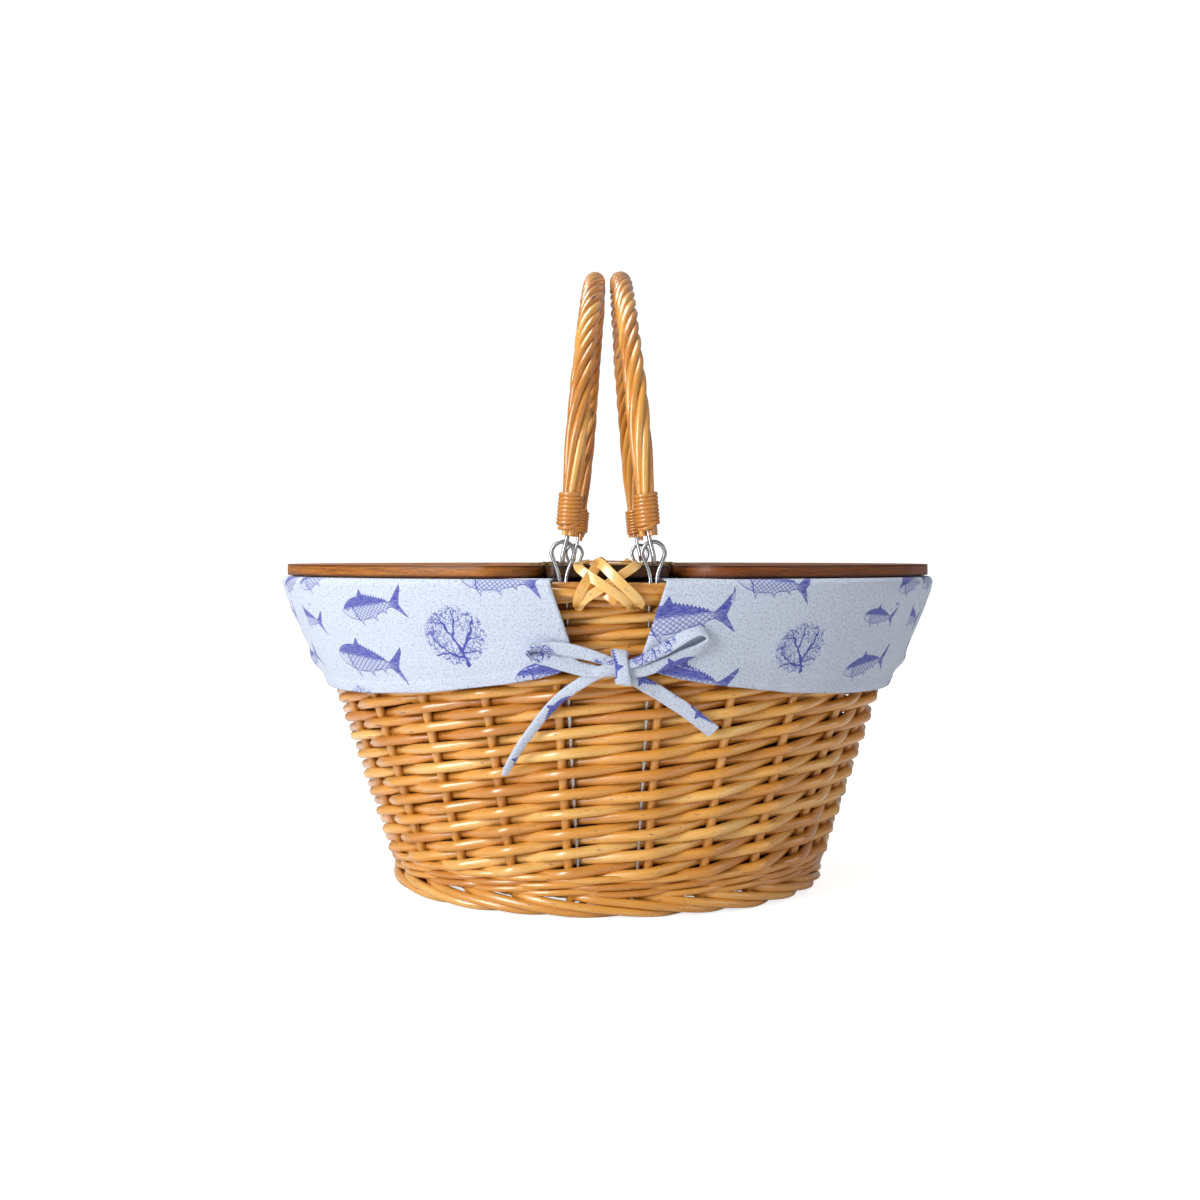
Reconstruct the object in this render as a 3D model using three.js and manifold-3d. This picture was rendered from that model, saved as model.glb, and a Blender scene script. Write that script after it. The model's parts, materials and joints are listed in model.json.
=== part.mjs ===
// An oval willow picnic basket: woven walls on straight stakes, two hinged wooden lids on a centre bar,
// two twisted handles that fold outwards on steel eyes, and a cloth liner with a skirt tied in bows.
// Millimetres. X runs along the basket, Y front (-) to back (+), Z up; the origin is the middle of the
// footprint, on the surface that the basket stands on.
import * as THREE from "three";
import { mergeVertices } from "three/addons/utils/BufferGeometryUtils.js";
import Module from "manifold-3d";

const wasm = await Module();
wasm.setup();

// Wall: the line of the stakes is an ellipse that opens evenly from the foot to the rim.
const FOOT_LENGTH = 241; // of the stake line at the floor surface, along X
const FOOT_DEPTH = 196;
const LENGTH_TAPER = 0.338; // half-length gained for each millimetre of height
const DEPTH_TAPER = 0.225;
const WALL_SEGMENTS = 56;
const GAP = 0.3; // between pieces that touch

// Courses of the weave, from the floor up
const FOOT_TOP = 10.5;
const WALE_TOP = 23;
const WEAVE_TOP = 173.5;
const RIM_TOP = 185.6;
const WEAVE_OUT = 6; // how far the weave reaches from the stake line, out and in
const RIM_IN = 7;
const RIM_OUT = 12.4;
const FLOOR_THICK = 6;

// Stakes, eleven on each half, with a wider gap at the middle of the front and the back
const STAKES_PER_SIDE = 11;
const STAKE_RADIUS = 2.5;
const STAKE_SIDES = 6;
const STAKE_INSET = 1.5; // of a leaning stake's ends from the borders above and below
const MID_GAP_HALF = 23.6; // from the middle to the first stake, measured at GAUGE_HEIGHT
const GAUGE_HEIGHT = 60;

// Lids and the bar that they hinge on
const LID_LENGTH = 390; // over both lids
const LID_DEPTH = 298;
const LID_TOP = 193.7;
const LID_THICK = 6.4;
const LID_CORNER = 28; // radius of the corners beside the handles
const BAR_HALF = 32.3;
const BAR_DEPTH = 272;
const HINGE_X = 34; // hinge axis, in the middle of the gap between bar and lid
const HINGE_GAP = 1.7; // from the axis to the edge of a board
const LID_OPEN_DEG = 96;

// Butt hinges let into the boards
const HINGE_Y = [-82, 82];
const LEAF_LENGTH = 24;
const LEAF_REACH = 13;
const LEAF_THICK = 0.8;
const KNUCKLE_RADIUS = 1.3;
const PIN_RADIUS = 0.55;
const KNUCKLE_BORE = 0.8;

// Steel wire eyes: one pair on the rim for each handle, one at each end of a handle
const WIRE_RADIUS = 1.1;
const PIVOT_X = 23.6;
const PIVOT_Y = 142;
const PIVOT_Z = 197.5;
const RIM_EYE_CENTRE_Z = 200.3;
const RIM_EYE_RADIUS = 5.8;
const RIM_EYE_NECK = 2;
const STAY_FOOT = 14;

// Handles
const HANDLE_TILT_DEG = 5;
const HANDLE_SHIFT = 1.5; // of the wicker bundle, inwards from its eyes
const BUNDLE_RADIUS = 6.9;
const NECK_RADIUS = 5.2;
const BUNDLE_END = 210;
const SHOULDER = 236;
const HANDLE_TOP = 366;
const WRAP_FROM = 213.5;
const WRAP_TO = 233;
const WRAP_RADIUS = 6.6;

// Liner
const CLOTH = 1.2;
const BAG_OFFSET = -7.4;
const SKIRT_TOP = 186.9;

const rad = THREE.MathUtils.degToRad;
const halfLength = (z) => FOOT_LENGTH / 2 + LENGTH_TAPER * z;
const halfDepth = (z) => FOOT_DEPTH / 2 + DEPTH_TAPER * z;

const willow = new THREE.MeshStandardMaterial({ color: 0xc98a3c, roughness: 0.42, metalness: 0 });
const willowPale = new THREE.MeshStandardMaterial({ color: 0xd8a860, roughness: 0.5, metalness: 0 });
const cane = new THREE.MeshStandardMaterial({ color: 0xb9743a, roughness: 0.4, metalness: 0 });
const lidWood = new THREE.MeshStandardMaterial({ color: 0x7a3a14, roughness: 0.35, metalness: 0 });
const barWood = new THREE.MeshStandardMaterial({ color: 0x2c1409, roughness: 0.45, metalness: 0 });
const steel = new THREE.MeshStandardMaterial({ color: 0xb8bbbf, roughness: 0.3, metalness: 1 });
const brass = new THREE.MeshStandardMaterial({ color: 0xb59a5a, roughness: 0.35, metalness: 1 });
const cloth = new THREE.MeshStandardMaterial({ color: 0xbccbe6, roughness: 0.9, metalness: 0 });

// A point of the wall: angle from +X, height, and distance outwards from the stake line.
function wallPoint(angle, z, offset) {
  const a = halfLength(z);
  const b = halfDepth(z);
  const normal = new THREE.Vector2(Math.cos(angle) / a, Math.sin(angle) / b).normalize();
  return new THREE.Vector3(
    a * Math.cos(angle) + offset * normal.x,
    b * Math.sin(angle) + offset * normal.y,
    z,
  );
}

function toSolid(geometry) {
  const bare = new THREE.BufferGeometry();
  bare.setAttribute("position", geometry.getAttribute("position"));
  bare.setIndex(geometry.getIndex());
  const merged = mergeVertices(bare, 1e-3);
  return new wasm.Manifold(
    new wasm.Mesh({
      numProp: 3,
      vertProperties: new Float32Array(merged.attributes.position.array),
      triVerts: new Uint32Array(merged.index.array),
    }),
  );
}

function toGeometry(solid) {
  const mesh = solid.getMesh();
  const positions = new Float32Array(mesh.numVert * 3);
  for (let i = 0; i < mesh.numVert; i++) {
    const from = i * mesh.numProp;
    positions.set(mesh.vertProperties.subarray(from, from + 3), i * 3);
  }
  const geometry = new THREE.BufferGeometry();
  geometry.setAttribute("position", new THREE.BufferAttribute(positions, 3));
  geometry.setIndex(new THREE.BufferAttribute(new Uint32Array(mesh.triVerts), 1));
  geometry.computeVertexNormals();
  return geometry;
}

function joined(geometries) {
  return geometries.map(toSolid).reduce((sum, next) => sum.add(next));
}

// A ring round the wall whose section is a closed outline of [offset, height] corners.
function wallRing(section) {
  const far = 1000; // keeps every offset on the outer side of the lathe's axis
  const outline = section.map(([offset, z]) => new THREE.Vector2(far + offset, z));
  outline.push(outline[0].clone());
  const ring = new THREE.LatheGeometry(outline, WALL_SEGMENTS);
  const at = ring.getAttribute("position");
  for (let i = 0; i < at.count; i++) {
    const offset = Math.hypot(at.getX(i), at.getZ(i)) - far;
    const point = wallPoint(Math.atan2(-at.getZ(i), at.getX(i)), at.getY(i), offset);
    at.setXYZ(i, point.x, point.y, point.z);
  }
  return ring;
}

// A solid oval plug that fills the wall between two heights, out to an offset.
function wallPlug(bottom, top, offset) {
  const plug = new THREE.CylinderGeometry(1, 1, 1, WALL_SEGMENTS);
  const at = plug.getAttribute("position");
  for (let i = 0; i < at.count; i++) {
    const z = at.getY(i) > 0 ? top : bottom;
    const onAxis = Math.hypot(at.getX(i), at.getZ(i)) < 0.5;
    const point = onAxis
      ? new THREE.Vector3(0, 0, z)
      : wallPoint(Math.atan2(-at.getZ(i), at.getX(i)), z, offset);
    at.setXYZ(i, point.x, point.y, point.z);
  }
  return plug;
}

// A round rod between two points.
function rod(from, to, radius, sides) {
  const length = from.distanceTo(to);
  const geometry = new THREE.CylinderGeometry(radius, radius, length, sides);
  const along = new THREE.Vector3().subVectors(to, from).normalize();
  geometry.applyQuaternion(new THREE.Quaternion().setFromUnitVectors(THREE.Object3D.DEFAULT_UP, along));
  const middle = new THREE.Vector3().addVectors(from, to).multiplyScalar(0.5);
  return geometry.translate(middle.x, middle.y, middle.z);
}

function box(min, max) {
  const size = max.map((value, axis) => value - min[axis]);
  const middle = max.map((value, axis) => (value + min[axis]) / 2);
  return new THREE.BoxGeometry(...size).translate(...middle);
}

// A wire or bundle of round section along a curve.
function tube(path, radius, sides, steps) {
  const section = new THREE.Shape();
  for (let i = 0; i < sides; i++) {
    const angle = (2 * Math.PI * i) / sides;
    const [x, y] = [radius * Math.cos(angle), radius * Math.sin(angle)];
    if (i === 0) section.moveTo(x, y);
    else section.lineTo(x, y);
  }
  return new THREE.ExtrudeGeometry(section, { steps, bevelEnabled: false, extrudePath: path });
}

// Angles of the stakes on one half, at equal distances along the wall at GAUGE_HEIGHT.
function stakeAngles() {
  const fine = 2000;
  const lengths = [0];
  const angleAt = (i) => -Math.PI / 2 + (Math.PI * i) / fine;
  for (let i = 1; i <= fine; i++) {
    const step = wallPoint(angleAt(i), GAUGE_HEIGHT, 0).distanceTo(wallPoint(angleAt(i - 1), GAUGE_HEIGHT, 0));
    lengths.push(lengths[i - 1] + step);
  }
  const spacing = (lengths[fine] - 2 * MID_GAP_HALF) / (STAKES_PER_SIDE - 1);
  return Array.from({ length: STAKES_PER_SIDE }, (_, k) => {
    const wanted = MID_GAP_HALF + k * spacing;
    return angleAt(lengths.findIndex((length) => length >= wanted));
  });
}

// Every stake as its name and its two ends.
function stakeLines() {
  const bottom = FOOT_TOP + STAKE_INSET;
  const top = WEAVE_TOP - STAKE_INSET;
  return ["right", "left"].flatMap((side) =>
    stakeAngles().map((angle, k) => {
      const turned = side === "right" ? angle : Math.PI - angle;
      return {
        name: `stake_${side}_${String(k + 1).padStart(2, "0")}`,
        from: wallPoint(turned, bottom, 0),
        to: wallPoint(turned, top, 0),
      };
    }),
  );
}

// The wire of one rim eye: up through the wall as a stay, round the eye and back down into the rim.
function rimEyePath(sideX, sideY) {
  const x0 = sideX * PIVOT_X;
  const y = sideY * PIVOT_Y;
  const inwards = -sideX;
  const stayTop = 180;
  const points = [
    new THREE.Vector3(sideX * 15.4, sideY * halfDepth(STAY_FOOT), STAY_FOOT),
    new THREE.Vector3(sideX * 20.4, sideY * halfDepth(110), 110),
    new THREE.Vector3(x0 + inwards * RIM_EYE_NECK, sideY * halfDepth(stayTop - 12), stayTop - 12),
    new THREE.Vector3(x0 + inwards * RIM_EYE_NECK, y, stayTop),
    new THREE.Vector3(x0 + inwards * RIM_EYE_NECK, y, 188.5),
  ];
  const turns = 9;
  for (let i = 0; i <= turns; i++) {
    const angle = -0.3 + ((Math.PI + 0.6) * i) / turns;
    points.push(
      new THREE.Vector3(
        x0 + inwards * RIM_EYE_RADIUS * Math.cos(angle),
        y,
        RIM_EYE_CENTRE_Z + RIM_EYE_RADIUS * Math.sin(angle),
      ),
    );
  }
  points.push(new THREE.Vector3(x0 - inwards * RIM_EYE_NECK, y, 188.5));
  points.push(new THREE.Vector3(x0 - inwards * RIM_EYE_NECK, y, 179));
  return new THREE.CatmullRomCurve3(points, false, "centripetal");
}

// The wire of one handle eye, in the handle's own frame: a loop that hangs in the rim eye.
function handleEyePath(sideY, shift) {
  const y = sideY * PIVOT_Y;
  const loopRadius = 4.4;
  const bottom = PIVOT_Z - 2.5;
  const legTop = BUNDLE_END + 7;
  const legHalf = 2.4;
  const points = [
    new THREE.Vector3(shift, y - legHalf, legTop),
    new THREE.Vector3(shift, y - legHalf, BUNDLE_END),
  ];
  const turns = 8;
  for (let i = 0; i <= turns; i++) {
    const angle = Math.PI + (Math.PI * i) / turns;
    points.push(
      new THREE.Vector3(0, y + loopRadius * Math.cos(angle), bottom + loopRadius + loopRadius * Math.sin(angle)),
    );
  }
  points.push(new THREE.Vector3(shift, y + legHalf, BUNDLE_END));
  points.push(new THREE.Vector3(shift, y + legHalf, legTop));
  return new THREE.CatmullRomCurve3(points, false, "centripetal");
}

// The arch of a handle: two straight shoulders joined by half an ellipse.
class HandleArch extends THREE.Curve {
  constructor(x) {
    super();
    this.x = x;
  }
  getPoint(t, target = new THREE.Vector3()) {
    const angle = Math.PI * t;
    return target.set(
      this.x,
      -PIVOT_Y * Math.cos(angle),
      SHOULDER + (HANDLE_TOP - SHOULDER) * Math.sin(angle),
    );
  }
}

const root = new THREE.Group();
root.name = "picnic_basket";

function add(parent, name, geometry, material) {
  const mesh = new THREE.Mesh(geometry, material);
  mesh.name = name;
  parent.add(mesh);
}

const stakes = stakeLines();
const corners = [
  ["front", "left"],
  ["front", "right"],
  ["back", "left"],
  ["back", "right"],
];
const sideOf = (word) => (word === "left" || word === "front" ? -1 : 1);

// Channels for the stakes and the wire stays, cut from a woven ring.
function bored(ring) {
  const channels = stakes.map(({ from, to }) => {
    const overrun = new THREE.Vector3().subVectors(to, from).multiplyScalar(0.02);
    return rod(from.clone().sub(overrun), to.clone().add(overrun), STAKE_RADIUS + GAP + 0.05, STAKE_SIDES);
  });
  for (const [depth, length] of corners) {
    const path = rimEyePath(sideOf(length), sideOf(depth));
    channels.push(tube(path, WIRE_RADIUS + GAP + 0.15, 6, 44));
  }
  return channels.reduce((solid, channel) => solid.subtract(toSolid(channel)), toSolid(ring));
}

function addWeave() {
  const floorEdge = -WEAVE_OUT - GAP;
  add(root, "floor_weave", wallPlug(FOOT_TOP + GAP, FOOT_TOP + GAP + FLOOR_THICK, floorEdge), willow);
  const footRing = wallRing([
    [-9, 0],
    [7, 0],
    [8, FOOT_TOP],
    [-10, FOOT_TOP],
  ]);
  add(root, "foot_border", footRing, willow);
  const courses = [
    ["base_wale", FOOT_TOP + GAP, WALE_TOP, -WEAVE_OUT, WEAVE_OUT],
    ["side_weave", WALE_TOP + GAP, WEAVE_TOP, -WEAVE_OUT, WEAVE_OUT],
    ["rim_border", WEAVE_TOP + GAP, RIM_TOP, -RIM_IN, RIM_OUT],
  ];
  for (const [name, bottom, top, inner, outer] of courses) {
    const ring = wallRing([
      [inner, bottom],
      [outer, bottom],
      [outer, top],
      [inner, top],
    ]);
    add(root, name, toGeometry(bored(ring)), willow);
  }
  for (const { name, from, to } of stakes) {
    add(root, name, rod(from, to, STAKE_RADIUS, STAKE_SIDES), willow);
  }
}

function addRimEyes() {
  for (const [depth, length] of corners) {
    const path = rimEyePath(sideOf(length), sideOf(depth));
    add(root, `rim_eye_${depth}_${length}`, tube(path, WIRE_RADIUS, 6, 44), steel);
  }
}

// One leaf of a hinge at the origin, reaching towards +X from the axis. The bar's leaf carries the pin.
function hingeLeaf(carriesPin) {
  const half = LEAF_LENGTH / 2;
  const third = half / 3;
  const plate = box([HINGE_GAP, -half, -LEAF_THICK], [LEAF_REACH, half, 0]);
  const spans = carriesPin
    ? [
        [-half, -third - 0.2],
        [third + 0.2, half],
      ]
    : [[-third, third]];
  const pieces = [plate];
  for (const [from, to] of spans) {
    const [start, end] = [new THREE.Vector3(0, from, 0), new THREE.Vector3(0, to, 0)];
    pieces.push(rod(start, end, KNUCKLE_RADIUS, 12));
    pieces.push(box([0, from, -LEAF_THICK], [HINGE_GAP + 0.1, to, 0]));
  }
  const pin = (radius) => rod(new THREE.Vector3(0, -half, 0), new THREE.Vector3(0, half, 0), radius, 8);
  const leaf = joined(pieces);
  return carriesPin ? leaf.add(toSolid(pin(PIN_RADIUS))) : leaf.subtract(toSolid(pin(KNUCKLE_BORE)));
}

// The pocket that a leaf lies in, cut from the top of a board.
function leafPocket(x, y, towards) {
  const half = LEAF_LENGTH / 2 + GAP;
  const ends = [x + towards, x + towards * (LEAF_REACH + GAP)].sort((p, q) => p - q);
  const floor = LID_TOP - LEAF_THICK - GAP;
  return box([ends[0], y - half, floor], [ends[1], y + half, LID_TOP + 5]);
}

function addBar() {
  const bottom = LID_TOP - LID_THICK;
  let bar = toSolid(box([-BAR_HALF, -BAR_DEPTH / 2, bottom], [BAR_HALF, BAR_DEPTH / 2, LID_TOP]));
  for (const side of [-1, 1]) {
    for (const y of HINGE_Y) {
      bar = bar.subtract(toSolid(leafPocket(side * HINGE_X, y, -side)));
    }
  }
  add(root, "centre_bar", toGeometry(bar), barWood);
}

// One lid: half an ellipse cut off beside the hinge line, with its two inner corners rounded.
function lidOutline() {
  const [a, b] = [LID_LENGTH / 2, LID_DEPTH / 2];
  const edge = HINGE_X + HINGE_GAP;
  const cornerX = edge + LID_CORNER;
  const cornerY = b * Math.sqrt(1 - (cornerX / a) ** 2) - LID_CORNER;
  const shape = new THREE.Shape();
  shape.moveTo(edge, -cornerY);
  shape.absarc(cornerX, -cornerY, LID_CORNER, Math.PI, 1.5 * Math.PI, false);
  const reach = Math.acos(cornerX / a);
  shape.absellipse(0, 0, a, b, -reach + 0.03, reach - 0.03, false, 0);
  shape.absarc(cornerX, cornerY, LID_CORNER, Math.PI / 2, Math.PI, false);
  return shape;
}

function addLids() {
  for (const [name, side] of [
    ["left", -1],
    ["right", 1],
  ]) {
    const slab = new THREE.ExtrudeGeometry(lidOutline(), { depth: LID_THICK, bevelEnabled: false, curveSegments: 18 });
    slab.translate(0, 0, LID_TOP - LID_THICK);
    if (side < 0) slab.rotateZ(Math.PI);
    let lid = toSolid(slab);
    for (const y of HINGE_Y) lid = lid.subtract(toSolid(leafPocket(side * HINGE_X, y, side)));
    add(root, `lid_${name}`, toGeometry(lid), lidWood);
    for (const y of HINGE_Y) {
      const where = y < 0 ? "front" : "back";
      for (const [owner, carriesPin, turn] of [
        ["bar", true, side > 0 ? Math.PI : 0],
        ["lid", false, side > 0 ? 0 : Math.PI],
      ]) {
        const leaf = toGeometry(hingeLeaf(carriesPin)).rotateZ(turn).translate(side * HINGE_X, y, LID_TOP);
        add(root, `hinge_${name}_${where}_${owner}_leaf`, leaf, brass);
      }
    }
  }
}

// The crossed cane strips over each end of the bar, as one plain angle.
function addLashings() {
  const half = 16.4;
  const reach = halfDepth(RIM_TOP) + RIM_OUT + 0.8;
  const thick = 1.5;
  for (const [name, side] of [
    ["front", -1],
    ["back", 1],
  ]) {
    const top = LID_TOP + GAP;
    const [near, far] = [side * (BAR_DEPTH / 2 - 9), side * (reach + thick)].sort((p, q) => p - q);
    const [inner, outer] = [side * reach, side * (reach + thick)].sort((p, q) => p - q);
    const angle = joined([
      box([-half, near, top], [half, far, top + thick]),
      box([-half, inner, 171.5], [half, outer, top + thick]),
    ]);
    add(root, `lashing_${name}`, toGeometry(angle), cane);
  }
}

// The liner: an open bag inside the walls, and a skirt over the rim in a left and a right half.
function addLiner() {
  const bagBottom = FOOT_TOP + FLOOR_THICK + 2 * GAP;
  const outside = toSolid(wallPlug(bagBottom, RIM_TOP, BAG_OFFSET));
  const inside = toSolid(wallPlug(bagBottom + CLOTH, RIM_TOP + 5, BAG_OFFSET - CLOTH));
  add(root, "liner_bag", toGeometry(outside.subtract(inside)), cloth);

  const skirtOut = [
    [-RIM_IN, SKIRT_TOP],
    [12.8, SKIRT_TOP],
    [15, 185],
    [16, 178],
    [15.6, 166],
    [13.4, 142],
    [10.8, 131],
    [8.6, 118],
  ];
  const skirtIn = [
    [7, 118],
    [9.2, 131],
    [11.8, 142],
    [14, 166],
    [14.4, 178],
    [13.8, 183.6],
    [12.8, RIM_TOP + GAP],
    [-RIM_IN, RIM_TOP + GAP],
  ];
  const ring = toSolid(wallRing([...skirtIn, ...skirtOut].reverse()));
  // Seen from the front: the slanted edges of the opening round the handles, and the hem below them.
  const panel = [
    [9, 141],
    [50, 131],
    [100, 124.5],
    [260, 120],
    [260, 200],
    [28, 200],
    [28, 187],
    [17, 146],
  ];
  for (const [name, side] of [
    ["left", -1],
    ["right", 1],
  ]) {
    const shape = new THREE.Shape(panel.map(([x, z]) => new THREE.Vector2(side * x, z)));
    const block = new THREE.ExtrudeGeometry(shape, { depth: 400, bevelEnabled: false });
    block.rotateX(Math.PI / 2).translate(0, 200, 0);
    add(root, `liner_skirt_${name}`, toGeometry(ring.intersect(toSolid(block))), cloth);
  }
}

// A tied bow as one flat solid that leans on the skirt and the wall: knot, two loops and two tails.
function addBows() {
  const outline = [
    [1, 136],
    [-24, 119],
    [-52, 80],
    [-58, 83],
    [-36, 122],
    [-8, 141],
    [-36, 143],
    [-42, 150],
    [-34, 156],
    [2, 148],
    [8, 151],
    [46, 166],
    [55, 161],
    [50, 154],
    [16, 140],
    [59, 110],
    [53, 102],
    [10, 134],
  ];
  const lean = 0.347; // of the bow's plane, outwards for each millimetre of height
  const knotZ = 142;
  const standoff = halfDepth(knotZ) + 15.4;
  const thick = 5;
  for (const [name, turn] of [
    ["front", 0],
    ["back", Math.PI],
  ]) {
    const shape = new THREE.Shape(outline.map(([x, z]) => new THREE.Vector2(x, z)));
    const slab = new THREE.ExtrudeGeometry(shape, { depth: thick, bevelEnabled: false });
    const at = slab.getAttribute("position");
    for (let i = 0; i < at.count; i++) {
      const z = at.getY(i);
      at.setXYZ(i, at.getX(i), -(standoff + lean * (z - knotZ) + at.getZ(i)), z);
    }
    add(root, `bow_${name}`, slab.rotateZ(turn), cloth);
  }
}

// A handle with its bindings and eyes, drawn upright and then leaned inwards about its eyes.
function addHandles() {
  for (const [name, side] of [
    ["left", -1],
    ["right", 1],
  ]) {
    const shift = -side * HANDLE_SHIFT;
    const handle = new THREE.Group();
    handle.position.set(side * PIVOT_X, 0, PIVOT_Z);
    handle.rotation.y = rad(-side * HANDLE_TILT_DEG);
    const own = (geometry) => geometry.translate(0, 0, -PIVOT_Z);

    const pieces = [tube(new HandleArch(shift), BUNDLE_RADIUS, 10, 36)];
    for (const end of [-1, 1]) {
      const foot = new THREE.Vector3(shift, end * PIVOT_Y, BUNDLE_END);
      const head = new THREE.Vector3(shift, end * PIVOT_Y, SHOULDER + 6);
      pieces.push(rod(foot, head, NECK_RADIUS, 10));
    }
    let bundle = joined(pieces);
    for (const end of [-1, 1]) {
      bundle = bundle.subtract(toSolid(tube(handleEyePath(end, shift), WIRE_RADIUS + GAP + 0.1, 6, 36)));
    }
    add(handle, `handle_${name}`, own(toGeometry(bundle)), willowPale);

    for (const [where, end] of [
      ["front", -1],
      ["back", 1],
    ]) {
      const collar = [
        [NECK_RADIUS + GAP, WRAP_FROM],
        [WRAP_RADIUS, WRAP_FROM],
        [WRAP_RADIUS, WRAP_TO],
        [NECK_RADIUS + GAP, WRAP_TO],
        [NECK_RADIUS + GAP, WRAP_FROM],
      ].map(([r, z]) => new THREE.Vector2(r, z));
      const wrap = new THREE.LatheGeometry(collar, 12).rotateX(Math.PI / 2).translate(shift, end * PIVOT_Y, 0);
      add(handle, `handle_${name}_wrap_${where}`, own(wrap), cane);
      add(handle, `handle_${name}_eye_${where}`, own(tube(handleEyePath(end, shift), WIRE_RADIUS, 6, 36)), steel);
    }
    root.add(handle);
  }
}

addWeave();
addRimEyes();
addBar();
addLids();
addLashings();
addLiner();
addBows();
addHandles();

export default root;
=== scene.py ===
"""An oval willow picnic basket with wooden lids, twisted handles and a printed cloth liner.

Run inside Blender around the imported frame. Each operator builds one group of pieces; the stage
operator sets the floor, the lights and the camera.
"""

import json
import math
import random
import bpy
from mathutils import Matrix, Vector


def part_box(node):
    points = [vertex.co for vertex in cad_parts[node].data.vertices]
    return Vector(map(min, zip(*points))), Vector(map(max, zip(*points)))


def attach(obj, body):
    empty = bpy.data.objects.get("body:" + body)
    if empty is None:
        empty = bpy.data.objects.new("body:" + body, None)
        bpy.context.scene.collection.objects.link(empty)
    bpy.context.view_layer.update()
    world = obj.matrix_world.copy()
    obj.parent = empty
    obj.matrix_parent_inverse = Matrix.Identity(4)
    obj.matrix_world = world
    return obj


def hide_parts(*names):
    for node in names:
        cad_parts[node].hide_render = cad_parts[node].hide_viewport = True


bl_info = {
    "name": "Willow picnic basket",
    "version": (1, 0, 0),
    "blender": (4, 5, 0),
    "location": "3D View > Sidebar > Basket",
    "description": "Woven basket with hinged lids, folding handles and a liner tied in bows",
    "category": "Add Mesh",
}

import bmesh
import bpy
import numpy as np
from bpy.props import FloatProperty, FloatVectorProperty, IntProperty, PointerProperty
from mathutils import Matrix, Vector, noise

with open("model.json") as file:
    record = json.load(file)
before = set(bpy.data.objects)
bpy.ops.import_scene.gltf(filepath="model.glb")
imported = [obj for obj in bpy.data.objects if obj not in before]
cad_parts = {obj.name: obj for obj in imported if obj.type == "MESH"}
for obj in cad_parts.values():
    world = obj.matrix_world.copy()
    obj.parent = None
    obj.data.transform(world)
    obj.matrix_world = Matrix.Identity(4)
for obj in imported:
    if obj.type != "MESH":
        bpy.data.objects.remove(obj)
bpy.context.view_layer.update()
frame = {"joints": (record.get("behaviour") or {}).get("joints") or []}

MM = 0.001
BASKET = "basket"
SIDES = (("left", -1), ("right", 1))
ENDS = (("front", -1), ("back", 1))

# The wall's oval, in millimetres, measured at the line of the stakes.
FOOT_HALF_LENGTH = 120.5
FOOT_HALF_DEPTH = 98.0
LENGTH_TAPER = 0.338
DEPTH_TAPER = 0.225
STAKES_PER_SIDE = 11
MID_GAP_HALF = 23.6
GAUGE_HEIGHT = 60.0
WEAVE_BOTTOM = 25.5

LID_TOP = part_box("lid_left")[1][2] / MM
LID_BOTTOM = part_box("lid_left")[0][2] / MM
HINGE_X = abs(frame["joints"][0]["pos_m"][0]) / MM
PIVOT = {j["name"]: [c / MM for c in j["pos_m"]] for j in frame["joints"]}
PIVOT_Y = 142.0
HANDLE_LEAN = math.radians(5)


# --- Sizes and colours ---------------------------------------------------------------------


class BasketSizes(bpy.types.PropertyGroup):
    """Sizes of the rods, wires and cloth."""

    weaver_radius: FloatProperty(
        name="Weaver radius", description="Half the thickness of a wall rod at its butt",
        default=3.15 * MM, unit="LENGTH",
    )
    stake_radius: FloatProperty(
        name="Stake radius", description="Half the thickness of an upright stake",
        default=2.6 * MM, unit="LENGTH",
    )
    half_row: FloatProperty(
        name="Half row", description="Height that a weaver climbs from one stake to the next",
        default=5.6 * MM, unit="LENGTH",
    )
    bend_depth: FloatProperty(
        name="Bend depth", description="How far a weaver stands out of the stake line at a stake",
        default=5.0 * MM, unit="LENGTH",
    )
    strand_radius: FloatProperty(
        name="Handle strand radius", description="Half the thickness of one rod of a handle",
        default=2.2 * MM, unit="LENGTH",
    )
    strand_count: IntProperty(
        name="Handle strands", description="Rods twisted round a handle's core", default=6, min=3,
    )
    wire_radius: FloatProperty(
        name="Wire radius", description="Half the thickness of the steel wire",
        default=1.1 * MM, unit="LENGTH",
    )
    cloth_thickness: FloatProperty(
        name="Cloth thickness", description="Thickness of the hemmed liner cloth",
        default=0.9 * MM, unit="LENGTH",
    )
    tape_width: FloatProperty(
        name="Tie width", description="Width of the folded cloth tie",
        default=7.6 * MM, unit="LENGTH",
    )


class BasketColours(bpy.types.PropertyGroup):
    """Main colours of the finishes."""

    willow_deep: FloatVectorProperty(
        name="Deep willow", description="Darkest varnished rods", subtype="COLOR", size=4,
        default=(0.60, 0.225, 0.024, 1.0), min=0, max=1,
    )
    willow_mid: FloatVectorProperty(
        name="Honey willow", description="Most of the varnished rods", subtype="COLOR", size=4,
        default=(0.78, 0.35, 0.048, 1.0), min=0, max=1,
    )
    willow_pale: FloatVectorProperty(
        name="Pale willow", description="Palest varnished rods", subtype="COLOR", size=4,
        default=(0.92, 0.56, 0.16, 1.0), min=0, max=1,
    )
    stain: FloatVectorProperty(
        name="Lid stain", description="Stained plywood of the lids", subtype="COLOR", size=4,
        default=(0.56, 0.19, 0.024, 1.0), min=0, max=1,
    )
    cloth: FloatVectorProperty(
        name="Cloth", description="Ground colour of the liner", subtype="COLOR", size=4,
        default=(0.64, 0.71, 0.85, 1.0), min=0, max=1,
    )
    ink: FloatVectorProperty(
        name="Ink", description="Printed motifs on the liner", subtype="COLOR", size=4,
        default=(0.016, 0.022, 0.36, 1.0), min=0, max=1,
    )


def sizes():
    """Sizes of the basket, as set in the panel."""
    return bpy.context.scene.basket_sizes


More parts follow.
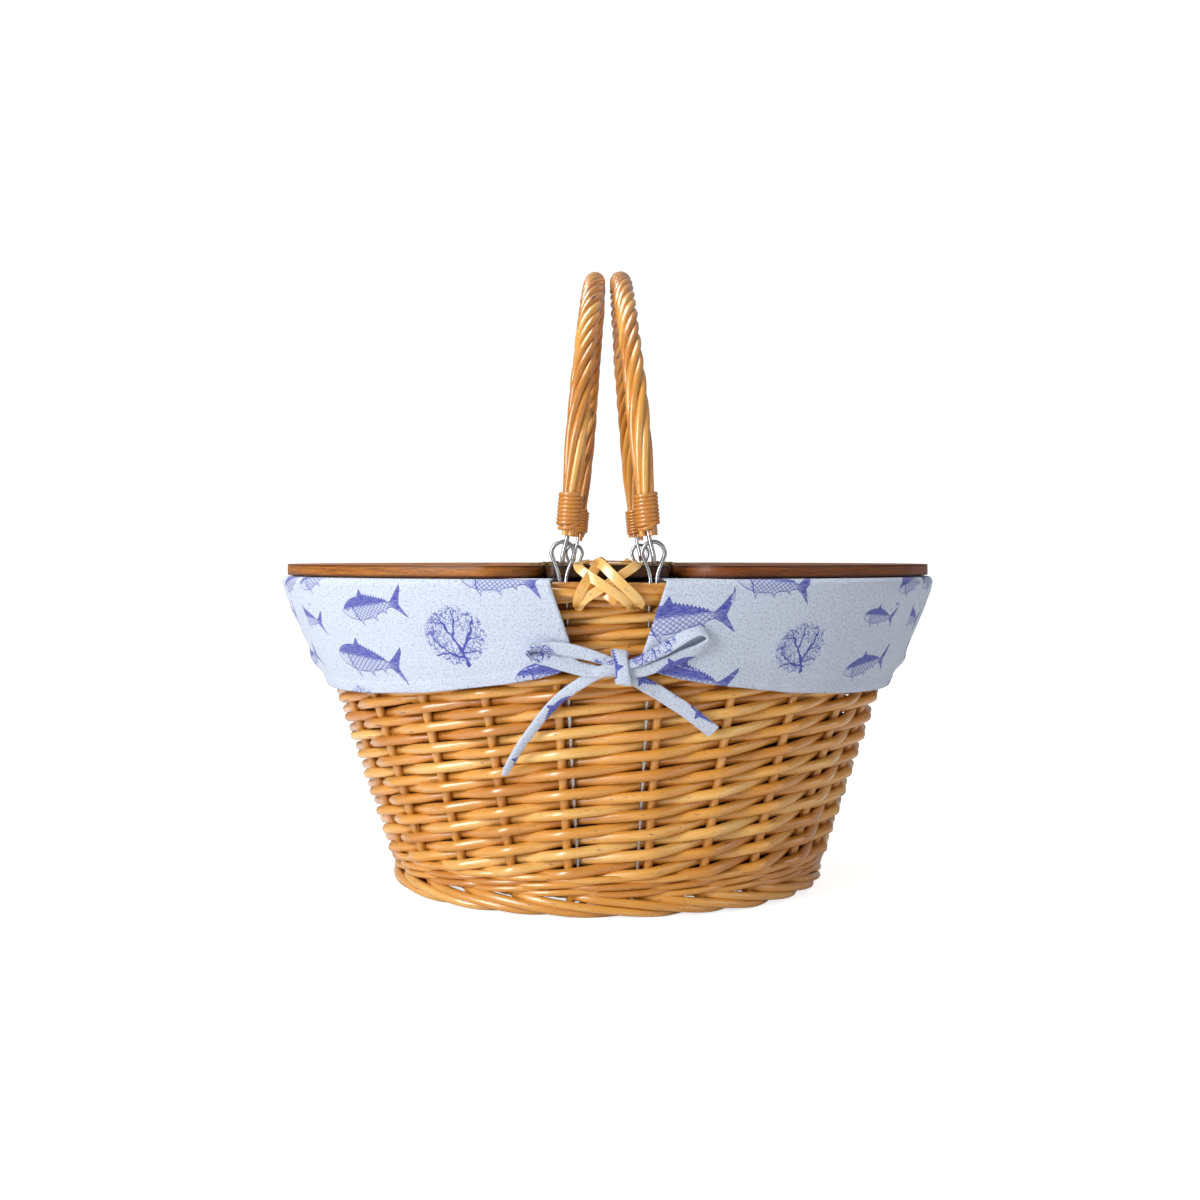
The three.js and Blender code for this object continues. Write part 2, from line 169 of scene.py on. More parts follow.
def colours():
    """Colours of the basket, as set in the panel."""
    return bpy.context.scene.basket_colours


# --- Shape helpers -------------------------------------------------------------------------


def half_length(z):
    """Half the length of the line of stakes at a height, in millimetres."""
    return FOOT_HALF_LENGTH + LENGTH_TAPER * z


def half_depth(z):
    """Half the depth of the line of stakes at a height, in millimetres."""
    return FOOT_HALF_DEPTH + DEPTH_TAPER * z


def wall_point(angle, z, offset=0.0):
    """A point of the wall in millimetres: angle from +X, height, distance out of the stake line."""
    a, b = half_length(z), half_depth(z)
    normal = Vector((math.cos(angle) / a, math.sin(angle) / b, 0)).normalized()
    return Vector((a * math.cos(angle), b * math.sin(angle), z)) + offset * normal


def stake_angles():
    """Angles of all stakes anticlockwise from the front, at equal distances on each half."""
    fine = 2000
    angles = [-math.pi / 2 + math.pi * i / fine for i in range(fine + 1)]
    lengths = [0.0]
    for i in range(fine):
        step = wall_point(angles[i + 1], GAUGE_HEIGHT) - wall_point(angles[i], GAUGE_HEIGHT)
        lengths.append(lengths[-1] + step.length)
    spacing = (lengths[-1] - 2 * MID_GAP_HALF) / (STAKES_PER_SIDE - 1)
    half = []
    for k in range(STAKES_PER_SIDE):
        wanted = MID_GAP_HALF + k * spacing
        half.append(angles[next(i for i, length in enumerate(lengths) if length >= wanted)])
    return half + [angle + math.pi for angle in half]


STAKES = stake_angles()
STAKE_COUNT = len(STAKES)


def stake_angle(s):
    """The angle at a place counted in stakes, whole numbers being the stakes themselves."""
    k = math.floor(s)
    turns, index = divmod(k, STAKE_COUNT)
    after = STAKES[index + 1] if index + 1 < STAKE_COUNT else STAKES[0] + 2 * math.pi
    return STAKES[index] + (after - STAKES[index]) * (s - k) + 2 * math.pi * turns


def smooth_path(points, per_span=8):
    """Points on a smooth curve through all of the given ones."""
    rows = [Vector(p) for p in points]
    ends = [rows[0] * 2 - rows[1], *rows, rows[-1] * 2 - rows[-2]]
    found = []
    for i in range(1, len(ends) - 2):
        p0, p1, p2, p3 = ends[i - 1 : i + 3]
        for step in range(per_span):
            t = step / per_span
            found.append(
                0.5 * (2 * p1 + (p2 - p0) * t + (2 * p0 - 5 * p1 + 4 * p2 - p3) * t * t
                       + (3 * p1 - p0 - 3 * p2 + p3) * t ** 3)
            )
    return found + [rows[-1]]


def blend_curve(pairs, x):
    """Straight-line lookup in a list of (x, y) pairs."""
    return float(np.interp(x, [p[0] for p in pairs], [p[1] for p in pairs]))


def ease(x):
    """Smooth step from 0 to 1."""
    x = min(max(x, 0.0), 1.0)
    return x * x * (3 - 2 * x)


class Rod:
    """One round rod or wire: its centre line and radii in millimetres, and its shade from 0 to 1."""

    def __init__(self, points, radii, tone=0.5):
        self.points = [Vector(p) for p in points]
        self.radii = radii if hasattr(radii, "__len__") else [radii] * len(self.points)
        self.tone = tone

    def ring(self, i, turn):
        """Place in the rod of each point of ring i: two distances from the centre line."""
        return np.cos(turn) * self.radii[i], np.sin(turn) * self.radii[i]


class Band(Rod):
    """A flat strip. Across points over its width at each place of its centre line."""

    def __init__(self, points, across, width, thick, tone=0.5, fullness=0.6):
        super().__init__(points, 1.0, tone)
        self.across = [Vector(a) for a in across]
        count = len(self.points)
        self.width = width if hasattr(width, "__len__") else [width] * count
        self.thick = thick if hasattr(thick, "__len__") else [thick] * count
        self.fullness = fullness

    def ring(self, i, turn):
        c, s = np.cos(turn), np.sin(turn)
        half, rise = self.width[i] / 2, self.thick[i] / 2
        return np.sign(c) * np.abs(c) ** self.fullness * half, np.sign(s) * np.abs(s) ** 0.75 * rise

    def placed(self, i, turn):
        """Where ring i's points are, in millimetres."""
        last = len(self.points) - 1
        along = (self.points[min(i + 1, last)] - self.points[max(i - 1, 0)]).normalized()
        side = (self.across[i] - along * self.across[i].dot(along)).normalized()
        out = along.cross(side)
        wide, high = self.ring(i, turn)
        return np.outer(wide, side) + np.outer(high, out) + np.array(self.points[i])


def new_object(name, mesh):
    """An object of the given data, linked into the scene."""
    piece = bpy.data.objects.new(name, mesh)
    bpy.context.scene.collection.objects.link(piece)
    return piece


def finish_piece(piece, body, material, replaced=()):
    """Gives a piece its finish and its body, and hides the plain nodes it stands for."""
    piece.data.materials.clear()
    piece.data.materials.append(material)
    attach(piece, body)
    if replaced:
        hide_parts(*replaced)
    return piece


def rod_piece(name, rods, fineness=3, sharp=50):
    """One mesh of many rods or bands. Each point knows its rod's shade and its place in the rod."""
    curve = bpy.data.curves.new(name, "CURVE")
    curve.dimensions = "3D"
    curve.bevel_depth = 1.0
    curve.bevel_resolution = fineness
    curve.twist_mode = "MINIMUM"
    for rod in rods:
        spline = curve.splines.new("POLY")
        spline.points.add(len(rod.points) - 1)
        for point, at, radius in zip(spline.points, rod.points, rod.radii):
            point.co = (at.x * MM, at.y * MM, at.z * MM, 1)
            point.radius = radius * MM
    holder = new_object(name + "_line", curve)
    bpy.context.view_layer.update()
    seen = holder.evaluated_get(bpy.context.evaluated_depsgraph_get())
    mesh = bpy.data.meshes.new_from_object(seen)
    bpy.data.objects.remove(holder)
    bpy.data.curves.remove(curve)
    mesh.name = name

    rings = sum(len(rod.points) for rod in rods)
    sides = len(mesh.vertices) // rings
    turn = 2 * np.pi * np.arange(sides) / sides
    places = np.empty(len(mesh.vertices) * 3)
    mesh.vertices.foreach_get("co", places)
    places = places.reshape(rings, sides, 3)
    space, tones, row = np.zeros((rings, sides, 3)), np.zeros((rings, sides)), 0
    for index, rod in enumerate(rods):
        along = index * 31.7
        for i, at in enumerate(rod.points):
            if i:
                along += (at - rod.points[i - 1]).length
            space[row, :, 0], space[row, :, 1] = rod.ring(i, turn)
            space[row, :, 2] = along
            tones[row] = rod.tone
            if isinstance(rod, Band):
                places[row] = rod.placed(i, turn) * MM
            row += 1
    mesh.vertices.foreach_set("co", places.ravel())
    mesh.attributes.new("rod_space", "FLOAT_VECTOR", "POINT").data.foreach_set("vector", space.ravel())
    mesh.attributes.new("tone", "FLOAT", "POINT").data.foreach_set("value", tones.ravel())

    work = bmesh.new()
    work.from_mesh(mesh)
    bmesh.ops.holes_fill(work, edges=[e for e in work.edges if e.is_boundary], sides=0)
    bmesh.ops.recalc_face_normals(work, faces=work.faces[:])
    for face in work.faces:
        face.smooth = True
    work.to_mesh(mesh)
    work.free()
    mesh.set_sharp_from_angle(angle=math.radians(sharp))
    return new_object(name, mesh)


def bend_wave(s, sharpness=0.994):
    """Between 1 in front of every even stake and -1 behind every odd one, straight between them."""
    return math.asin(sharpness * math.cos(math.pi * s)) / math.asin(sharpness)


# --- Shading -------------------------------------------------------------------------------


class Wiring:
    """Short ways to add joined nodes to one node tree."""

    def __init__(self, tree):
        self.tree = tree

    def add(self, kind, values=None, **settings):
        node = self.tree.nodes.new("ShaderNode" + kind)
        for key, value in settings.items():
            setattr(node, key, value)
        for key, value in (values or {}).items():
            if isinstance(value, bpy.types.NodeSocket):
                self.tree.links.new(value, node.inputs[key])
            else:
                node.inputs[key].default_value = value
        return node

    def maths(self, operation, a, b=0.0, c=0.0, clamp=False):
        return self.add("Math", {0: a, 1: b, 2: c}, operation=operation, use_clamp=clamp).outputs[0]

    def vector(self, operation, a, b=(0, 0, 0), scale=1.0):
        node = self.add("VectorMath", {0: a, 1: b, 3: scale}, operation=operation)
        flat = operation in ("LENGTH", "DISTANCE", "DOT_PRODUCT")
        return node.outputs["Value" if flat else "Vector"]

    def split(self, vector):
        return self.add("SeparateXYZ", {0: vector}).outputs

    def join(self, x=0.0, y=0.0, z=0.0):
        return self.add("CombineXYZ", {0: x, 1: y, 2: z}).outputs[0]

    def mixed(self, factor, a, b, blend="MIX"):
        node = self.add("Mix", {0: factor, 6: a, 7: b}, data_type="RGBA", blend_type=blend)
        return node.outputs[2]

    def ramp(self, value, low, high, to_low=0.0, to_high=1.0):
        values = {"Value": value, "From Min": low, "From Max": high, "To Min": to_low, "To Max": to_high}
        return self.add("MapRange", values, interpolation_type="SMOOTHSTEP").outputs["Result"]

    def noise(self, place, scale, detail=2.0, roughness=0.5):
        values = {"Vector": place, "Scale": scale, "Detail": detail, "Roughness": roughness}
        return self.add("TexNoise", values).outputs["Fac"]

    def cells(self, place, scale, feature="F1"):
        values = {"Vector": place, "Scale": scale}
        return self.add("TexVoronoi", values, feature=feature).outputs["Distance"]

    def curve(self, value, points, handle="AUTO"):
        node = self.add("FloatCurve", {"Value": value})
        line = node.mapping.curves[0]
        for _ in points[2:]:
            line.points.new(0.5, 0.5)
        for point, at in zip(line.points, points):
            point.location = at
            point.handle_type = handle
        node.mapping.update()
        return node.outputs["Value"]

    def placed(self, group, values):
        node = self.add("Group")
        node.node_tree = group
        for key, value in values.items():
            if isinstance(value, bpy.types.NodeSocket):
                self.tree.links.new(value, node.inputs[key])
            else:
                node.inputs[key].default_value = value
        return node.outputs


def shared_group(name, inputs, outputs, wire):
    """The shader group of that name, made the first time that it is asked for."""
    if name in bpy.data.node_groups:
        return bpy.data.node_groups[name]
    group = bpy.data.node_groups.new(name, "ShaderNodeTree")
    kinds = {"number": "NodeSocketFloat", "place": "NodeSocketVector", "colour": "NodeSocketColor"}
    for label, kind in inputs:
        group.interface.new_socket(label, in_out="INPUT", socket_type=kinds[kind])
    for label, kind in outputs:
        group.interface.new_socket(label, in_out="OUTPUT", socket_type=kinds[kind])
    wiring = Wiring(group)
    given = group.nodes.new("NodeGroupInput").outputs
    found = wire(wiring, given)
    end = group.nodes.new("NodeGroupOutput")
    for label, socket in found.items():
        group.links.new(socket, end.inputs[label])
    return group


def new_finish(name):
    """A new material, its wiring and its shader."""
    material = bpy.data.materials.new(name)
    material.use_nodes = True
    wiring = Wiring(material.node_tree)
    return material, wiring, material.node_tree.nodes["Principled BSDF"]


def set_shader(wiring, shader, values):
    """Sets a shader's inputs: sockets are linked, numbers and colours are set."""
    for key, value in values.items():
        if isinstance(value, bpy.types.NodeSocket):
            wiring.tree.links.new(value, shader.inputs[key])
        else:
            shader.inputs[key].default_value = value


def bumped(wiring, height, distance, strength=1.0):
    """A normal raised and lowered by a height value."""
    values = {"Height": height, "Distance": distance, "Strength": strength}
    return wiring.add("Bump", values).outputs["Normal"]


def rod_grain():
    """Varnished rod: streaks along it, slow shade changes, dark specks and a few knots."""

    def wire(w, given):
        x, y, along = w.split(given["Place"])[:]
        streaks = w.noise(w.join(x, y, w.maths("MULTIPLY", along, 0.05)), 1.3, 4.0, 0.6)
        slow = w.noise(w.join(w.maths("MULTIPLY", x, 0.2), w.maths("MULTIPLY", y, 0.2),
                              w.maths("MULTIPLY", along, 0.022)), 1.0, 2.0)
        speck_place = w.join(x, y, w.maths("MULTIPLY", along, 0.3))
        specks = w.ramp(w.noise(speck_place, 1.0, 3.0, 0.7), 0.63, 0.71)
        knot_place = w.join(w.maths("MULTIPLY", x, 0.16), w.maths("MULTIPLY", y, 0.16),
                            w.maths("MULTIPLY", along, 0.030))
        knots = w.ramp(w.cells(knot_place, 1.0), 0.14, 0.05)
        shade = w.maths("ADD", w.maths("MULTIPLY", given["Tone"], 0.80), given["Lighter"])
        shade = w.maths("ADD", shade, w.maths("MULTIPLY", w.maths("SUBTRACT", slow, 0.5), 0.9))
        streaky = w.maths("MULTIPLY", w.maths("SUBTRACT", streaks, 0.5), 0.55)
        shade = w.maths("ADD", shade, streaky, clamp=True)
        low = w.mixed(w.ramp(shade, 0.0, 0.5), given["Deep"], given["Honey"])
        colour = w.mixed(w.ramp(shade, 0.42, 1.0), low, given["Pale"])
        dark = w.maths("MAXIMUM", w.maths("MULTIPLY", specks, 0.85), w.maths("MULTIPLY", knots, 0.85))
        colour = w.mixed(dark, colour, (0.10, 0.028, 0.006, 1.0))
        height = w.maths("SUBTRACT", w.maths("MULTIPLY", streaks, 0.5), w.maths("MULTIPLY", dark, 0.5))
        rough = w.ramp(streaks, 0.25, 0.75, 0.26, 0.42)
        return {"Colour": colour, "Height": height, "Roughness": rough}

    inputs = [("Place", "place"), ("Tone", "number"), ("Lighter", "number"),
              ("Deep", "colour"), ("Honey", "colour"), ("Pale", "colour")]
    outputs = [("Colour", "colour"), ("Height", "number"), ("Roughness", "number")]
    return shared_group("Rod grain", inputs, outputs, wire)


def willow_finish(name="varnished_willow", lighter=0.0):
    """Varnished willow, the colour of each rod following its own shade."""
    if name in bpy.data.materials:
        return bpy.data.materials[name]
    material, w, shader = new_finish(name)
    look = colours()
    grain = w.placed(rod_grain(), {
        "Place": w.add("Attribute", attribute_name="rod_space").outputs["Vector"],
        "Tone": w.add("Attribute", attribute_name="tone").outputs["Fac"],
        "Lighter": lighter, "Deep": look.willow_deep, "Honey": look.willow_mid, "Pale": look.willow_pale,
    })
    set_shader(w, shader, {
        "Base Color": grain["Colour"], "Roughness": grain["Roughness"],
        "Normal": bumped(w, grain["Height"], 0.25 * MM), "Coat Weight": 1.0, "Coat Roughness": 0.2,
        "Coat IOR": 1.6, "Specular IOR Level": 0.6,
    })
    return material


def wear_dust():
    """Fine scuffs and dust for metal and painted wood, as one value over the surface."""

    def wire(w, given):
        place = w.vector("SCALE", given["Place"], scale=1000.0)
        scuffs = w.noise(w.vector("MULTIPLY", place, (1.0, 0.12, 1.0)), 0.9, 4.0, 0.65)
        clouds = w.noise(place, 0.09, 3.0)
        value = w.maths("ADD", w.maths("MULTIPLY", scuffs, 0.6), w.maths("MULTIPLY", clouds, 0.4))
        return {"Wear": w.ramp(value, 0.32, 0.68), "Height": scuffs}

    return shared_group("Scuffs", [("Place", "place")], [("Wear", "number"), ("Height", "number")], wire)


def metal_finish(name, bright, dull, smooth, rough):
    """Wire or plate, bright with duller patches."""
    if name in bpy.data.materials:
        return bpy.data.materials[name]
    material, w, shader = new_finish(name)
    wear = w.placed(wear_dust(), {"Place": w.add("TexCoord").outputs["Object"]})
    set_shader(w, shader, {
        "Base Color": w.mixed(wear["Wear"], dull, bright), "Metallic": 1.0,
        "Roughness": w.maths("ADD", w.maths("MULTIPLY", wear["Wear"], smooth - rough), rough),
        "Normal": bumped(w, wear["Height"], 0.02 * MM),
    })
    return material


def steel_finish():
    """Bright steel wire."""
    return metal_finish("polished_steel", (0.60, 0.61, 0.63, 1), (0.34, 0.35, 0.37, 1), 0.2, 0.38)


def brass_finish():
    """Brass darkened by age."""
    return metal_finish("aged_brass", (0.30, 0.19, 0.07, 1), (0.10, 0.06, 0.025, 1), 0.32, 0.55)


def board_grain():
    """Stained plywood: long figure on its face, and plies that show on its edge."""

    def wire(w, given):
        x, y, z = w.split(w.vector("SCALE", given["Place"], scale=1000.0))[:]
        place = w.join(x, w.maths("MULTIPLY", y, 0.045), w.maths("MULTIPLY", z, 0.6))
        bend = w.noise(w.join(w.maths("MULTIPLY", x, 0.02), w.maths("MULTIPLY", y, 0.006), 0.0), 1.0, 2.0)
        figure = w.maths("ADD", w.maths("MULTIPLY", x, 0.26), w.maths("MULTIPLY", bend, 14.0))
        rings = w.maths("MULTIPLY_ADD", w.maths("SINE", figure), 0.5, 0.5)
        pores = w.noise(place, 0.9, 5.0, 0.65)
        long_place = w.join(w.maths("MULTIPLY", x, 0.05), w.maths("MULTIPLY", y, 0.05),
                            w.maths("MULTIPLY", z, 1.6))
        plies = w.noise(long_place, 1.0, 5.0, 0.75)
        edge_specks = w.ramp(w.noise(w.join(w.maths("MULTIPLY", x, 0.6), w.maths("MULTIPLY", y, 0.6),
                                            w.maths("MULTIPLY", z, 2.4)), 1.0, 3.0), 0.38, 0.62)
        from_middle = w.maths("ABSOLUTE", w.maths("SUBTRACT", z, given["Middle"]))
        middle = w.maths("SUBTRACT", 1.0, w.maths("DIVIDE", from_middle, given["Half"]))
        on_face = w.ramp(middle, 0.02, 0.06, 1.0, 0.0)
        rim_dark = w.ramp(middle, 0.10, 0.50, 0.08, 1.0)
        edge = w.maths("MULTIPLY", w.maths("MULTIPLY", w.ramp(plies, 0.32, 0.66, 0.25, 1.1), rim_dark),
                       w.maths("MULTIPLY_ADD", edge_specks, 0.35, 0.65))
        face = w.maths("MULTIPLY", w.ramp(pores, 0.3, 0.7, 0.5, 1.0),
                       w.maths("MULTIPLY_ADD", rings, 0.35, 0.65))
        tone = w.maths("ADD", w.maths("MULTIPLY", edge, w.maths("SUBTRACT", 1.0, on_face)),
                       w.maths("MULTIPLY", face, on_face))
        darkest = w.mixed(1.0, given["Stain"], (0.13, 0.10, 0.09, 1), "MULTIPLY")
        colour = w.mixed(tone, darkest, given["Stain"])
        return {"Colour": colour, "Height": w.maths("MULTIPLY", tone, 0.6)}

    inputs = [("Place", "place"), ("Middle", "number"), ("Half", "number"), ("Stain", "colour")]
    return shared_group("Board grain", inputs, [("Colour", "colour"), ("Height", "number")], wire)


def board_finish(name, stain, middle, half, gloss=0.35):
    """Stained and varnished board, grained on its faces and in plies round its edge."""
    if name in bpy.data.materials:
        return bpy.data.materials[name]
    material, w, shader = new_finish(name)
    grain = w.placed(board_grain(), {
        "Place": w.add("TexCoord").outputs["Object"], "Middle": middle, "Half": half,
        "Stain": stain,
    })
    set_shader(w, shader, {
        "Base Color": grain["Colour"], "Roughness": w.ramp(grain["Height"], 0.1, 0.6, gloss + 0.15, gloss),
        "Normal": bumped(w, grain["Height"], 0.12 * MM), "Coat Weight": 0.12, "Coat Roughness": 0.3,
        "Specular IOR Level": 0.3,
    })
    return material


# --- Printed linen -------------------------------------------------------------------------

# Fish of the print: how far round and up the cloth, length and tilt, in millimetres and degrees.
FISH = (
    (-126, 171, 44, 8), (-141, 141, 52, -6), (-166, 188, 40, 20), (-187, 163, 34, -8), (-52, 186, 42, -4),
    (-24, 136, 52, 4), (-98, 113, 40, -4), (-60, 112, 40, 4), (36, 166, 54, 7), (82, 184, 42, -8),
    (156, 165, 29, -4), (160, 138, 38, 10), (44, 133, 50, -9), (182, 184, 34, 15), (112, 114, 42, 3),
)
CORALS = ((-79, 157, 37, 0), (104, 150, 32, 4), (-160, 112, 34, 0), (0, 184, 30, 0), (176, 108, 34, 0))
PRINT_WIDTH, PRINT_HEIGHT, PRINT_FOOT = 380.0, 100.0, 98.0
HEM_FOLD = 6.0
THREAD = (0.68, 0.74, 0.88, 1.0)


def fish_print():
    """One fish in a box a unit long, its head to the left: scaly below and dark along the back."""

    def wire(w, given):
        x, y, _ = w.split(given["Place"])[:]
        share = w.maths("ADD", x, 0.5)
        ruffle = w.maths("MULTIPLY", w.maths("PINGPONG", share, 0.018), 1.4)
        back = w.curve(share, [(0, 0.0), (0.05, 0.065), (0.15, 0.125), (0.30, 0.16), (0.5, 0.14),
                               (0.7, 0.075), (0.80, 0.042), (0.88, 0.06), (1.0, 0.075)])
        back_fins = w.curve(share, [(0, 0.0), (0.335, 0.0), (0.40, 0.085), (0.415, 0.012), (0.50, 0.0),
                                    (0.80, 0.0), (0.88, 0.045), (1.0, 0.155)], "VECTOR")
        belly = w.curve(share, [(0, 0.0), (0.05, 0.05), (0.15, 0.105), (0.35, 0.135), (0.55, 0.10),
                                (0.7, 0.06), (0.8, 0.036), (0.88, 0.05), (1.0, 0.065)])
        belly_fins = w.curve(share, [(0, 0.0), (0.235, 0.0), (0.295, 0.085), (0.305, 0.0), (0.465, 0.0),
                                     (0.53, 0.075), (0.54, 0.0), (0.665, 0.0), (0.71, 0.05), (0.72, 0.0),
                                     (0.80, 0.0), (0.88, 0.035), (1.0, 0.135)], "VECTOR")
        back, belly = w.maths("ADD", back, back_fins), w.maths("ADD", belly, belly_fins)
        fork = w.maths("MULTIPLY", w.maths("SUBTRACT", share, 0.915), 2.2)
        in_fork = w.ramp(w.maths("SUBTRACT", fork, w.maths("ABSOLUTE", w.maths("ADD", y, 0.01))), 0.0, 0.012)
        spiny = w.maths("MULTIPLY", w.ramp(share, 0.36, 0.42), w.ramp(share, 0.78, 0.74))
        top = w.maths("ADD", w.maths("SUBTRACT", back, y), w.maths("MULTIPLY", ruffle, spiny))
        low = w.maths("ADD", belly, y)
        inside_by = w.maths("MINIMUM", top, low)
        inside_by = w.maths("MINIMUM", inside_by, w.maths("MINIMUM", share, w.maths("SUBTRACT", 1.0, share)))
        inside = w.maths("MULTIPLY", w.ramp(inside_by, 0.0, 0.006), w.maths("SUBTRACT", 1.0, in_fork))
        outline = w.ramp(inside_by, 0.017, 0.008)
        lean_one = w.maths("PINGPONG", w.maths("ADD", share, w.maths("MULTIPLY", y, 1.2)), 0.030)
        lean_two = w.maths("PINGPONG", w.maths("SUBTRACT", share, w.maths("MULTIPLY", y, 1.2)), 0.030)
        scales = w.ramp(w.maths("MINIMUM", lean_one, lean_two), 0.0095, 0.0045)
        rough = w.noise(w.vector("MULTIPLY", given["Place"], (26.0, 60.0, 1.0)), 1.0, 3.0)
        back_line = w.maths("MULTIPLY_ADD", rough, 0.10, -0.035)
        dark_back = w.ramp(w.maths("SUBTRACT", y, back_line), 0.0, 0.035)
        tail = w.ramp(share, 0.77, 0.82)
        stroke_place = w.vector("MULTIPLY", given["Place"], (14.0, 90.0, 1.0))
        strokes = w.ramp(w.noise(stroke_place, 1.0, 2.0), 0.40, 0.62)
        from_gill = w.maths("SUBTRACT", share, w.maths("MULTIPLY_ADD", y, -0.35, 0.20))
        gill = w.ramp(w.maths("ABSOLUTE", from_gill), 0.010, 0.004)
        head = w.ramp(share, 0.20, 0.17)
        eye = w.ramp(w.vector("DISTANCE", given["Place"], (-0.40, 0.022, 0)), 0.017, 0.011)
        ink = w.maths("MAXIMUM", w.maths("MULTIPLY", dark_back, w.maths("MULTIPLY_ADD", strokes, 0.22, 0.78)),
                      w.maths("MULTIPLY", scales, w.maths("SUBTRACT", 0.78, w.maths("MULTIPLY", head, 0.6))))
        ink = w.maths("MAXIMUM", ink, w.maths("MULTIPLY", tail, w.maths("MULTIPLY_ADD", strokes, 0.35, 0.60)))
        ink = w.maths("MAXIMUM", ink, w.maths("MAXIMUM", outline, w.maths("MAXIMUM", gill, eye)))
        ink = w.maths("MAXIMUM", ink, 0.10)
        return {"Ink": w.maths("MULTIPLY", ink, inside, clamp=True)}

    return shared_group("Fish print", [("Place", "place")], [("Ink", "number")], wire)


def coral_print():
    """One coral fan in a box a unit wide: dark branches over fine lace."""
    branches = (
        (0.12, -0.42, 0.06, -0.22, 0.020), (0.06, -0.22, -0.04, -0.02, 0.017),
        (-0.04, -0.02, -0.16, 0.16, 0.013), (-0.16, 0.16, -0.24, 0.33, 0.009),
        (-0.04, -0.02, 0.02, 0.20, 0.012), (0.02, 0.20, 0.0, 0.36, 0.008),
        (0.06, -0.22, 0.18, -0.06, 0.016), (0.18, -0.06, 0.26, 0.12, 0.012),
        (0.26, 0.12, 0.30, 0.26, 0.008), (0.18, -0.06, 0.36, 0.0, 0.009),
        (0.09, -0.32, -0.12, -0.27, 0.015), (-0.12, -0.27, -0.28, -0.14, 0.011),
        (-0.28, -0.14, -0.36, 0.02, 0.008), (-0.12, -0.27, -0.33, -0.30, 0.009),
        (0.07, -0.26, 0.30, -0.20, 0.009), (-0.16, 0.16, -0.32, 0.18, 0.008),
    )

    def wire(w, given):
        shake = w.add("TexNoise", {"Vector": given["Place"], "Scale": 9.0, "Detail": 1.0}).outputs["Color"]
        shift = w.vector("SCALE", w.vector("SUBTRACT", shake, (0.5, 0.5, 0.5)), scale=0.09)
        shaken = w.vector("ADD", given["Place"], shift)
        flat = w.vector("MULTIPLY", shaken, (1, 1, 0))
        closest = 1.0
        for x0, y0, x1, y1, thick in branches:
            run = Vector((x1 - x0, y1 - y0, 0))
            from_start = w.vector("SUBTRACT", flat, (x0, y0, 0))
            share = w.vector("DOT_PRODUCT", from_start, tuple(run / run.length_squared))
            share = w.maths("ADD", share, 0.0, clamp=True)
            foot = w.vector("SCALE", tuple(run), scale=share)
            away = w.maths("SUBTRACT", w.vector("DISTANCE", from_start, foot), thick)
            closest = w.maths("MINIMUM", closest, away)
        stem = w.ramp(closest, 0.008, -0.002)
        edge = w.noise(w.vector("MULTIPLY", given["Place"], (1, 1, 0)), 7.0, 3.0, 0.6)
        reach = w.maths("ADD", w.vector("LENGTH", w.vector("MULTIPLY", given["Place"], (1.0, 1.1, 0))),
                        w.maths("MULTIPLY", edge, 0.22))
        fan = w.ramp(reach, 0.585, 0.545)
        flat_place = w.vector("MULTIPLY", shaken, (1, 1, 0))
        lace_lines = w.ramp(w.cells(flat_place, 22.0, "DISTANCE_TO_EDGE"), 0.14, 0.05)
        crumbs = w.ramp(w.noise(w.vector("MULTIPLY", given["Place"], (1, 1, 0)), 16.0, 2.0), 0.34, 0.50)
        lace = w.maths("MULTIPLY", w.maths("MULTIPLY", lace_lines, crumbs),
                       w.ramp(reach, 0.15, 0.45, 0.35, 0.85))
        west = w.ramp(w.split(given["Place"])[0], -0.18, -0.34)
        clumps = w.maths("MULTIPLY", w.maths("MULTIPLY", west, w.ramp(edge, 0.50, 0.60)), 0.8)
        ink = w.maths("MULTIPLY", w.maths("MAXIMUM", lace, clumps), fan)
        return {"Ink": w.maths("MAXIMUM", ink, w.maths("MULTIPLY", stem, 0.95), clamp=True)}

    return shared_group("Coral print", [("Place", "place")], [("Ink", "number")], wire)


